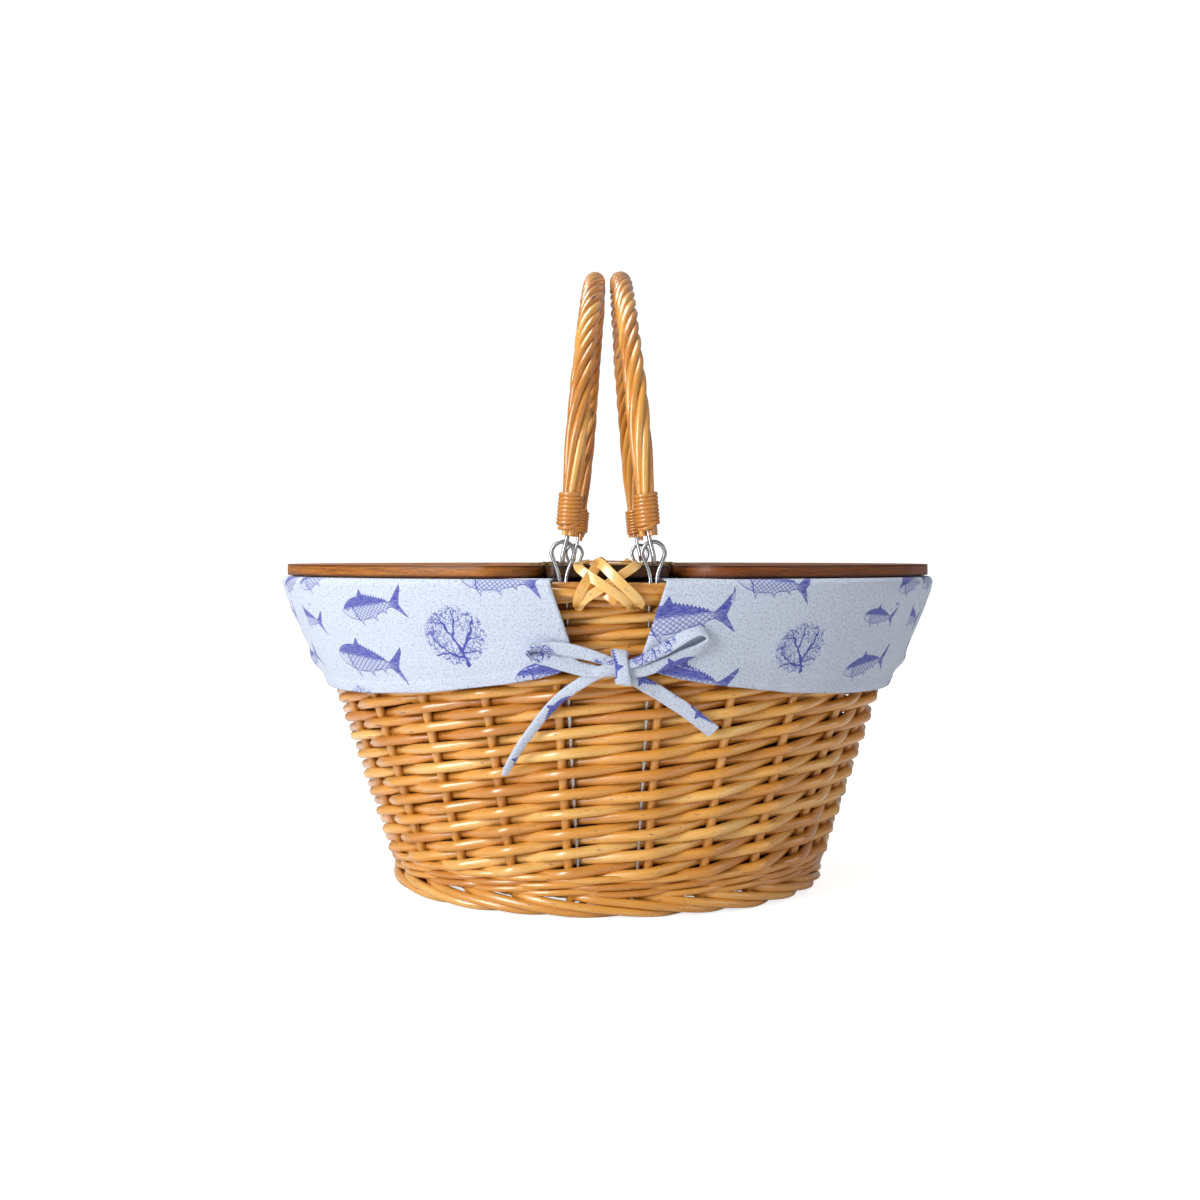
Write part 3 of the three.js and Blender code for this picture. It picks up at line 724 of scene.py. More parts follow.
def sea_print():
    """The liner's repeating print, from a place on the flat cloth in millimetres."""

    def gathered_place(w, place, motifs, wide, high):
        """Sums each motif's own coordinates inside its box, and a far place outside all of them."""
        total, covered = (0.0, 0.0, 0.0), 0.0
        for across, up, length, tilt in motifs:
            own = w.vector("SUBTRACT", place, (across, up - PRINT_FOOT, 0))
            turned = w.add("VectorRotate", {"Vector": own, "Angle": -math.radians(tilt)},
                           rotation_type="Z_AXIS")
            unit = w.vector("SCALE", turned.outputs[0], scale=1 / length)
            x, y, _ = w.split(w.vector("ABSOLUTE", unit))[:]
            inside = w.maths("MULTIPLY", w.maths("LESS_THAN", x, wide), w.maths("LESS_THAN", y, high))
            total = w.vector("ADD", total, w.vector("SCALE", unit, scale=inside))
            covered = w.maths("ADD", covered, inside)
        outside = w.maths("SUBTRACT", 1.0, covered, clamp=True)
        return w.vector("ADD", total, w.join(w.maths("MULTIPLY", outside, 9.0)))

    def wire(w, given):
        x, y, _ = w.split(given["Place"])[:]
        half = PRINT_WIDTH / 2
        x = w.maths("SUBTRACT", w.maths("FLOORED_MODULO", w.maths("ADD", x, half), PRINT_WIDTH), half)
        y = w.maths("FLOORED_MODULO", w.maths("SUBTRACT", y, PRINT_FOOT), PRINT_HEIGHT)
        place = w.join(x, y)
        fish = w.placed(fish_print(), {"Place": gathered_place(w, place, FISH, 0.5, 0.29)})["Ink"]
        coral = w.placed(coral_print(), {"Place": gathered_place(w, place, CORALS, 0.6, 0.6)})["Ink"]
        return {"Ink": w.maths("MAXIMUM", fish, coral)}

    return shared_group("Sea print", [("Place", "place")], [("Ink", "number")], wire)


def linen_weave():
    """Plain weave of uneven threads, from a place on the cloth in millimetres."""

    def wire(w, given):
        x, y, _ = w.split(given["Place"])[:]
        pitch = 2 * math.pi / 0.62
        drift = w.maths("MULTIPLY", w.noise(given["Place"], 0.15, 2.0), 1.6)
        warp = w.maths("SINE", w.maths("MULTIPLY", w.maths("ADD", x, drift), pitch))
        weft = w.maths("SINE", w.maths("MULTIPLY", w.maths("ADD", y, drift), pitch))
        height = w.maths("MULTIPLY_ADD", w.maths("MULTIPLY", warp, weft), 0.5, 0.5)
        slubs = w.noise(w.vector("MULTIPLY", given["Place"], (0.9, 2.6, 1.0)), 0.62, 3.0, 0.7)
        cross_slubs = w.noise(w.vector("MULTIPLY", given["Place"], (2.6, 0.9, 1.0)), 0.62, 3.0, 0.7)
        flecks = w.ramp(w.maths("MINIMUM", slubs, cross_slubs), 0.47, 0.34)
        shade = w.maths("SUBTRACT", w.maths("MULTIPLY_ADD", height, 0.14, 0.90),
                        w.maths("MULTIPLY", flecks, 0.42))
        return {"Shade": shade, "Height": w.maths("ADD", height, w.maths("MULTIPLY", slubs, 0.8))}

    outputs = [("Shade", "number"), ("Height", "number")]
    return shared_group("Linen weave", [("Place", "place")], outputs, wire)


def painted_shade_reverse_side():
    """The bag's side towards the weave: nearly black cloth, painted shade for the dark seen through the gaps
    between the rods.
    """
    if "lining" in bpy.data.materials:
        return bpy.data.materials["lining"]
    material, w, shader = new_finish("lining")
    weave = w.placed(linen_weave(), {"Place": w.add("UVMap", uv_map="cloth").outputs["UV"]})
    shade = w.join(weave["Shade"], weave["Shade"], weave["Shade"])
    # Nearly black: painted shade, not the cloth's own colour.
    set_shader(w, shader, {
        "Base Color": w.mixed(1.0, (0.085, 0.075, 0.07, 1), shade, "MULTIPLY"), "Roughness": 0.95,
        "Normal": bumped(w, weave["Height"], 0.10 * MM, 0.7), "Specular IOR Level": 0.1,
    })
    return material


def linen_finish(name="printed_linen", on_tie=False, shift=(0.0, 0.0, 0.0)):
    """Pale blue linen with the sea print."""
    if name in bpy.data.materials:
        return bpy.data.materials[name]
    material, w, shader = new_finish(name)
    if on_tie:
        across, high, along = w.split(w.add("Attribute", attribute_name="rod_space").outputs["Vector"])[:]
        place = w.vector("ADD", w.join(along, w.maths("ADD", across, high)), shift)
    else:
        place = w.add("UVMap", uv_map="cloth").outputs["UV"]
    weave = w.placed(linen_weave(), {"Place": place})
    ink = w.placed(sea_print(), {"Place": place})["Ink"]
    look = colours()
    # Stitches run round the cloth a little above the hem. The hem value is 0 where there's no hem.
    from_hem = w.add("Attribute", attribute_name="hem").outputs["Fac"]
    on_line = w.ramp(w.maths("ABSOLUTE", w.maths("SUBTRACT", from_hem, HEM_FOLD)), 0.34, 0.22)
    dash = w.ramp(w.maths("PINGPONG", w.split(place)[0], 1.5), 0.35, 0.5)
    stitch = w.maths("MULTIPLY", on_line, dash)
    height = w.maths("MULTIPLY_ADD", stitch, 1.6, weave["Height"])
    faded = w.maths("MULTIPLY", ink, w.maths("MULTIPLY_ADD", weave["Shade"], 0.4, 0.58), clamp=True)
    ground = w.mixed(1.0, look.cloth, w.join(weave["Shade"], weave["Shade"], weave["Shade"]), "MULTIPLY")
    set_shader(w, shader, {
        "Base Color": w.mixed(w.maths("MULTIPLY", stitch, 0.6), w.mixed(faded, ground, look.ink), THREAD),
        "Roughness": 0.88,
        "Normal": bumped(w, height, 0.10 * MM, 0.7), "Sheen Weight": 0.25, "Sheen Roughness": 0.5,
        "Specular IOR Level": 0.25,
    })
    return material


# --- Weave ---------------------------------------------------------------------------------


def level_height(q):
    """Height of half row q: even rows over most of the wall, closer ones near the rim."""
    step = sizes().half_row / MM
    even = 17.0
    return WEAVE_BOTTOM + step * (min(q, even) + max(q - even, 0) * 0.76)


def weaver(start, q_from, q_to, thick, chance):
    """A rod that climbs anticlockwise from a stake, in front of one and behind the next."""
    depth = sizes().bend_depth / MM
    steps = int((q_to - q_from) * 8)
    lift, wander = chance.uniform(-0.3, 0.3), chance.uniform(0, 100)
    points, radii = [], []
    for i in range(steps + 1):
        share = i / steps
        q = q_from + (q_to - q_from) * share
        sway = noise.noise(Vector((q * 0.45, wander, 0.0)))
        heave = noise.noise(Vector((q * 0.5, 0.0, wander)))
        offset = depth * bend_wave(q) + 0.45 * sway
        points.append(wall_point(stake_angle(start + q), level_height(q) + lift + 0.85 * heave, offset))
        girth = 1 + 0.11 * noise.noise(Vector((q * 0.8, wander, wander)))
        radii.append((thick[0] + (thick[1] - thick[0]) * share) * girth)
    radii[0] *= 0.85
    radii[-1] *= 0.85
    return Rod(points, radii, chance.random())


def wall_weavers():
    """A rod from every stake at the foot, and another from where it ends. Each climbs half a row
    a stake, so the bends line up in columns."""
    chance = random.Random(11)
    thick = sizes().weaver_radius / MM
    rods = []
    for start in range(STAKE_COUNT):
        splice = 15 + 2 * chance.randint(-1, 1)
        rods.append(weaver(start, -1.0, splice + 0.25, (thick, thick * 0.92), chance))
        rods.append(weaver(start, splice - 0.25, 30.25, (thick * 0.95, thick * 0.78), chance))
    return rods


def waling(levels, offset, depth, radius, seed):
    """Rounds of three rods, each in front of two stakes and behind the next, like a loose rope."""
    chance = random.Random(seed)
    rods = []
    for level in levels:
        shift = chance.uniform(0, 3)
        for strand in range(3):
            wander = chance.uniform(0, 50)
            steps = (STAKE_COUNT + 1) * 7
            points = []
            for i in range(steps + 1):
                s = shift + strand + (STAKE_COUNT + 1) * i / steps
                phase = ((s - shift - strand) / 3) % 1.0
                out = offset + depth * (0.25 + math.cos(2 * math.pi * (phase - 1 / 3))) / 1.25
                climb = 1.5 * phase if phase < 2 / 3 else 3 * (1 - phase)
                z = level + radius * (2 * climb - 1) + 0.5 * noise.noise(Vector((s * 0.7, wander, 0)))
                points.append(wall_point(stake_angle(s), z, out))
            rods.append(Rod(points, radius * chance.uniform(0.92, 1.05), chance.random()))
    return rods


def track_border(path, radius, seed):
    """One rod from each stake that follows path, a list of (stakes on, offset, height)."""
    chance = random.Random(seed)
    rods = []
    for stake in range(STAKE_COUNT):
        lift = chance.uniform(-0.35, 0.35)
        corners = [wall_point(stake_angle(stake + on), z + lift, out) for on, out, z in path]
        points = smooth_path(corners, 7)
        girth = radius * chance.uniform(0.9, 1.06)
        radii = [girth * (1 - 0.15 * i / len(points)) for i in range(len(points))]
        rods.append(Rod(points, radii, chance.random()))
    return rods


def floor_rods():
    """Close rods along the floor, in front of and behind seven cross sticks."""
    chance = random.Random(5)
    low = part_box("floor_weave")[0][2] / MM
    z_mid = low + 3.0
    sticks = [-90, -60, -30, 0, 30, 60, 90]
    reach, depth = half_length(z_mid) - 3, half_depth(z_mid) - 3
    rods = []
    for x in sticks:
        half = depth * math.sqrt(1 - (x / reach) ** 2)
        rods.append(Rod([Vector((x, -half, z_mid)), Vector((x, 0, z_mid)), Vector((x, half, z_mid))],
                        2.3, chance.random()))
    pitch = 3.9
    rows = int(2 * depth / pitch) - 1
    for row in range(rows):
        y = -depth + pitch * (row + 1)
        half = reach * math.sqrt(1 - (y / depth) ** 2)
        steps = max(int(half / 4), 4)
        points = []
        for i in range(steps + 1):
            x = -half + 2 * half * i / steps
            wave = math.cos(math.pi * (x / 30 + row))
            points.append(Vector((x, y + 0.3 * noise.noise(Vector((x * 0.02, row, 0))), z_mid + 1.9 * wave)))
        rods.append(Rod(points, 1.85, chance.random()))
    return rods


class BASKET_OT_wall(bpy.types.Operator):
    """Weave the wall between the foot and the rim"""

    bl_idname = "basket.wall"
    bl_label = "Woven wall"

    def execute(self, context):
        piece = rod_piece("side_weave_rods", wall_weavers())
        finish_piece(piece, BASKET, willow_finish(), ["side_weave"])
        return {"FINISHED"}


class BASKET_OT_borders(bpy.types.Operator):
    """Make the foot border, the waling above it, the rim border and the floor"""

    bl_idname = "basket.borders"
    bl_label = "Borders and floor"

    def execute(self, context):
        foot = [(-0.15, -3, 12.5), (0.3, 3.2, 10.6), (0.9, 5.6, 8.2), (1.6, 6.0, 5.2), (2.2, 3.4, 3.1),
                (2.75, -3.0, 3.2), (3.2, -6.5, 5.0)]
        rim = [(-0.1, 0, 168), (0.05, 1.0, 176), (0.5, 6.2, 180.5), (1.1, 8.6, 180.0), (1.8, 8.2, 177.0),
               (2.4, 2.0, 178.5), (2.9, -3.4, 181.5)]
        top = [(0.0, -3.5, 178), (0.35, 0.5, 182.4), (1.0, 4.4, 183.0), (1.7, 3.0, 182.6), (2.3, -2.2, 182.2),
               (2.8, -4.4, 179)]
        willow = willow_finish()
        groups = [
            ("foot_border_rods", track_border(foot, 2.7, 21), ["foot_border"]),
            ("base_wale_rods", waling((14.4, 18.2, 22.2), 0.0, 4.3, 2.0, 23), ["base_wale"]),
            ("rim_border_rods", track_border(rim, 2.6, 31) + track_border(top, 2.4, 33), ["rim_border"]),
            ("floor_weave_rods", floor_rods(), ["floor_weave"]),
        ]
        for name, rods, replaced in groups:
            finish_piece(rod_piece(name, rods), BASKET, willow, replaced)
        return {"FINISHED"}


class BASKET_OT_stakes(bpy.types.Operator):
    """Stand the willow stakes in the wall"""

    bl_idname = "basket.stakes"
    bl_label = "Stakes"

    def execute(self, context):
        chance = random.Random(41)
        radius = sizes().stake_radius / MM
        willow = willow_finish()
        for index, angle in enumerate(STAKES):
            side = "right" if index < STAKES_PER_SIDE else "left"
            number = index + 1 if side == "right" else STAKE_COUNT - index
            node = f"stake_{side}_{number:02d}"
            wander = chance.uniform(0, 90)
            points = []
            for i in range(25):
                z = 9.0 + (178.0 - 9.0) * i / 24
                sway = 0.5 * noise.noise(Vector((z * 0.03, wander, 0)))
                points.append(wall_point(angle + sway * 0.004, z, 0.3 * sway))
            radii = [radius * (1.04 - 0.12 * i / 24) for i in range(25)]
            piece = rod_piece(f"willow_{node}", [Rod(points, radii, 0.25 + 0.5 * chance.random())])
            finish_piece(piece, BASKET, willow, [node])
        return {"FINISHED"}


# --- Wire eyes -----------------------------------------------------------------------------


def rim_eye_path(side_x, side_y):
    """Up beside a stake as a stay, round the eye and back down into the rim."""
    x0, y, inwards = side_x * abs(PIVOT["left_handle_fold"][0]), side_y * PIVOT_Y, -side_x
    neck, ring, centre = 2.0, 5.8, 200.3
    points = [
        (side_x * 15.4, side_y * half_depth(14), 14),
        (side_x * 20.4, side_y * half_depth(110), 110),
        (x0 + inwards * neck, side_y * half_depth(168), 168),
        (x0 + inwards * neck, y, 180),
        (x0 + inwards * neck, y, 188.5),
    ]
    for i in range(10):
        angle = -0.3 + (math.pi + 0.6) * i / 9
        points.append((x0 + inwards * ring * math.cos(angle), y, centre + ring * math.sin(angle)))
    points += [(x0 - inwards * neck, y, 188.5), (x0 - inwards * neck, y, 179)]
    return smooth_path(points, 5)


def handle_eye_path(side_y, shift):
    """The eye at one end of a handle, upright: a narrow loop that hangs in the rim eye."""
    y, loop, bottom, leg, legs_end = side_y * PIVOT_Y, 4.4, PIVOT["left_handle_fold"][2] - 2.5, 2.4, 210
    points = [(shift, y - leg, legs_end + 8), (shift, y - leg, legs_end)]
    for i in range(9):
        angle = math.pi + math.pi * i / 8
        points.append((0, y + loop * math.cos(angle), bottom + loop + loop * math.sin(angle)))
    points += [(shift, y + leg, legs_end), (shift, y + leg, legs_end + 8)]
    return smooth_path(points, 5)


class BASKET_OT_wires(bpy.types.Operator):
    """Bend the steel wire eyes of the rim and of the handles"""

    bl_idname = "basket.wires"
    bl_label = "Wire eyes"

    def execute(self, context):
        radius = sizes().wire_radius / MM
        steel = steel_finish()
        for side, side_x in SIDES:
            for end, side_y in ENDS:
                rim = Rod(rim_eye_path(side_x, side_y), radius)
                piece = rod_piece(f"wire_rim_eye_{end}_{side}", [rim], 3)
                finish_piece(piece, BASKET, steel, [f"rim_eye_{end}_{side}"])
                path = [lean(p, side_x) for p in handle_eye_path(side_y, -side_x * HANDLE_SHIFT)]
                piece = rod_piece(f"wire_handle_eye_{side}_{end}", [Rod(path, radius)], 3)
                finish_piece(piece, f"{side}_handle", steel, [f"handle_{side}_eye_{end}"])
        return {"FINISHED"}


# --- Handles -------------------------------------------------------------------------------

HANDLE_SHIFT = 1.5
SHOULDER = 236.0
HANDLE_TOP = 366.0
WRAP_FROM, WRAP_TO = 213.6, 232.8


def lean(point, side_x):
    """Moves a point of an upright handle to where it stands: leaned inwards about its eyes."""
    pivot = Vector((side_x * abs(PIVOT["left_handle_fold"][0]), 0, PIVOT["left_handle_fold"][2]))
    turn = Matrix.Rotation(-side_x * HANDLE_LEAN, 3, "Y")
    return pivot + turn @ (Vector(point) - Vector((0, 0, pivot.z)))


def arch_line(shift, low):
    """The upright centre line of a handle, from its front foot to its back foot."""
    points = [Vector((shift, -PIVOT_Y, low + (SHOULDER - low) * i / 10)) for i in range(10)]
    for i in range(91):
        angle = math.pi * i / 90
        points.append(Vector((shift, -PIVOT_Y * math.cos(angle),
                              SHOULDER + (HANDLE_TOP - SHOULDER) * math.sin(angle))))
    points += [Vector((shift, PIVOT_Y, SHOULDER - (SHOULDER - low) * i / 10)) for i in range(1, 11)]
    return points


def handle_strands(side_x, seed):
    """Rods twisted round a core: nearly straight at the feet, closely turned at the top."""
    chance = random.Random(seed)
    count, radius = sizes().strand_count, sizes().strand_radius / MM
    line = arch_line(-side_x * HANDLE_SHIFT, 209.5)
    lengths = [0.0]
    for a, b in zip(line, line[1:]):
        lengths.append(lengths[-1] + (b - a).length)
    total = lengths[-1]
    twist, turned = [0.0], 0.0
    for i in range(1, len(line)):
        middle = (lengths[i] + lengths[i - 1]) / 2
        from_foot = min(middle, total - middle)
        rate = 2 * math.pi / 260 + (2 * math.pi / 108) * ease((from_foot - 25) / 90)
        turned += rate * (lengths[i] - lengths[i - 1])
        twist.append(turned)
    rods = []
    for strand in range(count + 1):
        points, radii = [], []
        girth = radius * chance.uniform(0.93, 1.06)
        phase = 2 * math.pi * strand / count + chance.uniform(-0.05, 0.05)
        first = chance.randint(0, 1) if strand < count else 2
        last = len(line) - (chance.randint(0, 1) if strand < count else 2)
        wander = chance.uniform(0, 60)
        for i in range(first, last):
            ahead, behind = line[min(i + 1, len(line) - 1)], line[max(i - 1, 0)]
            along = (ahead - behind).normalized()
            side = Vector((1, 0, 0))
            outwards = along.cross(side)
            from_foot = min(lengths[i], total - lengths[i])
            spread = 3.0 + 0.95 * ease((from_foot - 22) / 40)
            spread += 0.5 * noise.noise(Vector((lengths[i] * 0.02, wander, 0)))
            if strand == count:
                spread = 0.0
            angle = phase + twist[i]
            at = line[i] + spread * (math.cos(angle) * side + math.sin(angle) * outwards)
            points.append(lean(at, side_x))
            radii.append(girth * (0.84 + 0.16 * ease((from_foot - 22) / 30)))
        rods.append(Rod(points, radii, chance.random()))
    return rods


def wrap_coil(side_x, side_y, seed):
    """Cane wound in close turns round a handle's foot, with its end tucked under."""
    chance = random.Random(seed)
    centre = Vector((-side_x * HANDLE_SHIFT, side_y * PIVOT_Y, 0))
    thick, round_radius, turns = 1.22, 5.45, 8
    points = []
    steps = turns * 26
    for i in range(steps + 1):
        angle = 2 * math.pi * i / 26 + (0.4 if side_x < 0 else 2.2)
        z = WRAP_FROM + thick + (WRAP_TO - WRAP_FROM - 2 * thick) * i / steps
        wobble = 0.16 * noise.noise(Vector((math.cos(angle) * 1.3, math.sin(angle) * 1.3, i * 0.02 + seed)))
        reach = round_radius + wobble - (1.4 if i > steps - 5 or i < 3 else 0)
        points.append(lean(centre + Vector((reach * math.cos(angle), reach * math.sin(angle), z)), side_x))
    tuck = [
        centre + Vector((-4.9, -side_y * -3.2, WRAP_FROM - 0.6)),
        centre + Vector((-1.5, side_y * 6.1, WRAP_FROM - 0.4)),
        centre + Vector((2.5, side_y * 5.9, WRAP_FROM + 0.9)),
        centre + Vector((5.2, side_y * 3.0, WRAP_FROM + 2.6)),
    ]
    return [Rod(points, thick, 0.35 + 0.2 * chance.random()),
            Rod([lean(p, side_x) for p in smooth_path(tuck, 6)], 1.0, 0.5)]


class BASKET_OT_handles(bpy.types.Operator):
    """Twist the two handles and bind their feet with cane"""

    bl_idname = "basket.handles"
    bl_label = "Handles"

    def execute(self, context):
        willow, cane = willow_finish("varnished_handle", -0.10), willow_finish("glossy_cane", -0.36)
        for side, side_x in SIDES:
            piece = rod_piece(f"handle_strands_{side}", handle_strands(side_x, 50 + side_x), 3)
            finish_piece(piece, f"{side}_handle", willow, [f"handle_{side}"])
            for end, side_y in ENDS:
                coil = rod_piece(f"cane_wrap_{side}_{end}", wrap_coil(side_x, side_y, 60 + side_x + side_y))
                finish_piece(coil, f"{side}_handle", cane, [f"handle_{side}_wrap_{end}"])
        return {"FINISHED"}


# --- Lids, bar and hinges ------------------------------------------------------------------

BOARD_MIDDLE = (LID_TOP + LID_BOTTOM) / 2
BOARD_HALF = (LID_TOP - LID_BOTTOM) / 2
LID_EDGE = abs(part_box("lid_left")[1][0]) / MM
LID_HALF_LENGTH = abs(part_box("lid_left")[0][0]) / MM
LID_HALF_DEPTH = 149.0
LID_CORNER = 28.0


def work_to_piece(work, name, sharp=35):
    """Closes a bmesh into a new object with smooth faces and sharp corners."""
    bmesh.ops.recalc_face_normals(work, faces=work.faces[:])
    for face in work.faces:
        face.smooth = True
    mesh = bpy.data.meshes.new(name)
    work.to_mesh(mesh)
    work.free()
    mesh.set_sharp_from_angle(angle=math.radians(sharp))
    return new_object(name, mesh)


def soften(work, edges, width, segments=2):
    """Bevels the given edges."""
    bmesh.ops.bevel(work, geom=edges, offset=width * MM, offset_type="OFFSET", segments=segments,
                    profile=0.5, affect="EDGES", material=-1, clamp_overlap=True)


def oval_board(side_x):
    """Half an oval with its two corners rounded, cut straight along the hinges."""
    work = bmesh.new()
    bmesh.ops.create_circle(work, cap_ends=True, radius=1.0, segments=220)
    bmesh.ops.scale(work, vec=(LID_HALF_LENGTH * MM, LID_HALF_DEPTH * MM, 1), verts=work.verts[:])
    bmesh.ops.bisect_plane(work, geom=work.verts[:] + work.edges[:] + work.faces[:],
                           plane_co=(side_x * LID_EDGE * MM, 0, 0), plane_no=(-side_x, 0, 0),
                           clear_outer=True)
    corners = [v for v in work.verts if abs(abs(v.co.x) - LID_EDGE * MM) < 1e-6]
    corner_x = LID_EDGE + LID_CORNER
    corner_y = LID_HALF_DEPTH * math.sqrt(1 - (corner_x / LID_HALF_LENGTH) ** 2) - LID_CORNER
    doomed = [v for v in work.verts if abs(v.co.x) < corner_x * MM and abs(v.co.y) > corner_y * MM
              and v not in corners]
    bmesh.ops.dissolve_verts(work, verts=doomed)
    for corner in corners:
        corner.co = (side_x * LID_EDGE * MM, math.copysign((corner_y + LID_CORNER) * MM, corner.co.y), 0)
    bmesh.ops.bevel(work, geom=corners, offset=LID_CORNER * 0.98 * MM, offset_type="OFFSET", segments=14,
                    profile=0.5, affect="VERTICES", material=-1, clamp_overlap=True)
    raised = bmesh.ops.extrude_face_region(work, geom=work.faces[:])["geom"]
    top = [v for v in raised if isinstance(v, bmesh.types.BMVert)]
    bmesh.ops.translate(work, vec=(0, 0, 2 * BOARD_HALF * MM), verts=top)
    bmesh.ops.translate(work, vec=(0, 0, LID_BOTTOM * MM), verts=work.verts[:])
    bmesh.ops.recalc_face_normals(work, faces=work.faces[:])
    rims = [e for e in work.edges if len(e.link_faces) == 2 and e.calc_face_angle() > math.radians(60)]
    soften(work, rims, 0.5)
    return work


class BASKET_OT_lids(bpy.types.Operator):
    """Cut the two stained plywood lids and the bar between them"""

    bl_idname = "basket.lids"
    bl_label = "Lids and centre bar"

    def execute(self, context):
        stain = colours().stain
        middle, half = BOARD_MIDDLE, BOARD_HALF
        # The right lid takes the same stain darkened: painted shade on the right lid, not a different stain.
        stain_and_painted_shade = {"left": stain, "right": [stain[0] * 0.55, stain[1] * 0.42, stain[2] * 0.4, 1.0]}
        for side, side_x in SIDES:
            piece = work_to_piece(oval_board(side_x), f"lid_board_{side}")
            finish = board_finish(f"stained_lid_{side}", stain_and_painted_shade[side], middle, half)
            finish_piece(piece, f"{side}_lid", finish, [f"lid_{side}"])
        low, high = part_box("centre_bar")
        work = bmesh.new()
        bmesh.ops.create_cube(work, size=1.0)
        bmesh.ops.scale(work, vec=high - low, verts=work.verts[:])
        bmesh.ops.translate(work, vec=(low + high) / 2, verts=work.verts[:])
        uprights = [e for e in work.edges if abs(e.verts[0].co.z - e.verts[1].co.z) > 3 * MM]
        soften(work, uprights, 5.0, 6)
        rims = [e for e in work.edges if e.calc_face_angle(0) > math.radians(60)]
        soften(work, rims, 0.6)
        finish = board_finish("dark_bar", [c * 0.16 for c in stain[:3]] + [1.0], middle, half, 0.3)
        finish_piece(work_to_piece(work, "bar_board"), BASKET, finish, ["centre_bar"])
        return {"FINISHED"}


def hinge_leaf(side_x, side_y, on_lid):
    """A plate with its knuckles and three slotted screws."""
    axis_x, y_mid, long = side_x * HINGE_X, side_y * 82.0, 24.0
    outwards = side_x if on_lid else -side_x
    work = bmesh.new()

    def block(x0, x1, y0, y1, z0, z1, edge):
        made = bmesh.ops.create_cube(work, size=1.0)["verts"]
        bmesh.ops.scale(work, vec=((x1 - x0) * MM, (y1 - y0) * MM, (z1 - z0) * MM), verts=made)
        centre = ((x0 + x1) / 2 * MM, (y0 + y1) / 2 * MM, (z0 + z1) / 2 * MM)
        bmesh.ops.translate(work, vec=centre, verts=made)
        soften(work, list({e for v in made for e in v.link_edges}), edge, 1)

    def barrel(y0, y1, radius):
        made = bmesh.ops.create_cone(work, cap_ends=True, segments=24, radius1=radius * MM,
                                     radius2=radius * MM, depth=(y1 - y0) * MM)["verts"]
        bmesh.ops.rotate(work, matrix=Matrix.Rotation(math.pi / 2, 3, "X"), verts=made)
        bmesh.ops.translate(work, vec=(axis_x * MM, (y0 + y1) / 2 * MM, LID_TOP * MM), verts=made)

    near, far = axis_x + outwards * 1.1, axis_x + outwards * 13.0
    block(min(near, far), max(near, far), y_mid - long / 2, y_mid + long / 2,
          LID_TOP - 0.45, LID_TOP + 0.35, 0.15)
    share = long / 5
    for k in range(5):
        if (k % 2 == 1) == on_lid:
            barrel(y_mid - long / 2 + k * share + 0.12, y_mid - long / 2 + (k + 1) * share - 0.12, 1.3)
    if not on_lid:
        barrel(y_mid - long / 2 - 0.1, y_mid + long / 2 + 0.1, 0.55)
    for k, dx in ((-1, 5.0), (0, 8.6), (1, 5.0)):
        turn = Matrix.Rotation(0.6 + 1.1 * k + side_y, 3, "Z")
        at = Vector(((axis_x + outwards * dx) * MM, (y_mid + k * 7.6) * MM, (LID_TOP + 0.62) * MM))
        for half in (-1, 1):
            head = bmesh.ops.create_cone(work, cap_ends=True, segments=20, radius1=1.7 * MM,
                                         radius2=1.25 * MM, depth=0.55 * MM)["verts"]
            edges = list({e for v in head for e in v.link_edges})
            faces = list({f for v in head for f in v.link_faces})
            cut = bmesh.ops.bisect_plane(work, geom=head + edges + faces, plane_co=(half * 0.22 * MM, 0, 0),
                                         plane_no=(half, 0, 0), clear_inner=True)["geom_cut"]
            rim = [e for e in cut if isinstance(e, bmesh.types.BMEdge)]
            bmesh.ops.holes_fill(work, edges=rim, sides=0)
            kept = {v for v in head if v.is_valid} | {v for e in rim for v in e.verts}
            bmesh.ops.rotate(work, matrix=turn, verts=list(kept))
            bmesh.ops.translate(work, vec=at, verts=list(kept))
    return work


class BASKET_OT_hinges(bpy.types.Operator):
    """Fit the four small hinges with their screws"""

    bl_idname = "basket.hinges"
    bl_label = "Hinges"

    def execute(self, context):
        brass = brass_finish()
        for side, side_x in SIDES:
            for end, side_y in ENDS:
                for leaf, body in (("lid_leaf", f"{side}_lid"), ("bar_leaf", BASKET)):
                    work = hinge_leaf(side_x, side_y, leaf == "lid_leaf")
                    piece = work_to_piece(work, f"brass_hinge_{side}_{end}_{leaf}")
                    finish_piece(piece, body, brass, [f"hinge_{side}_{end}_{leaf}"])
        return {"FINISHED"}


# --- Lashings ------------------------------------------------------------------------------


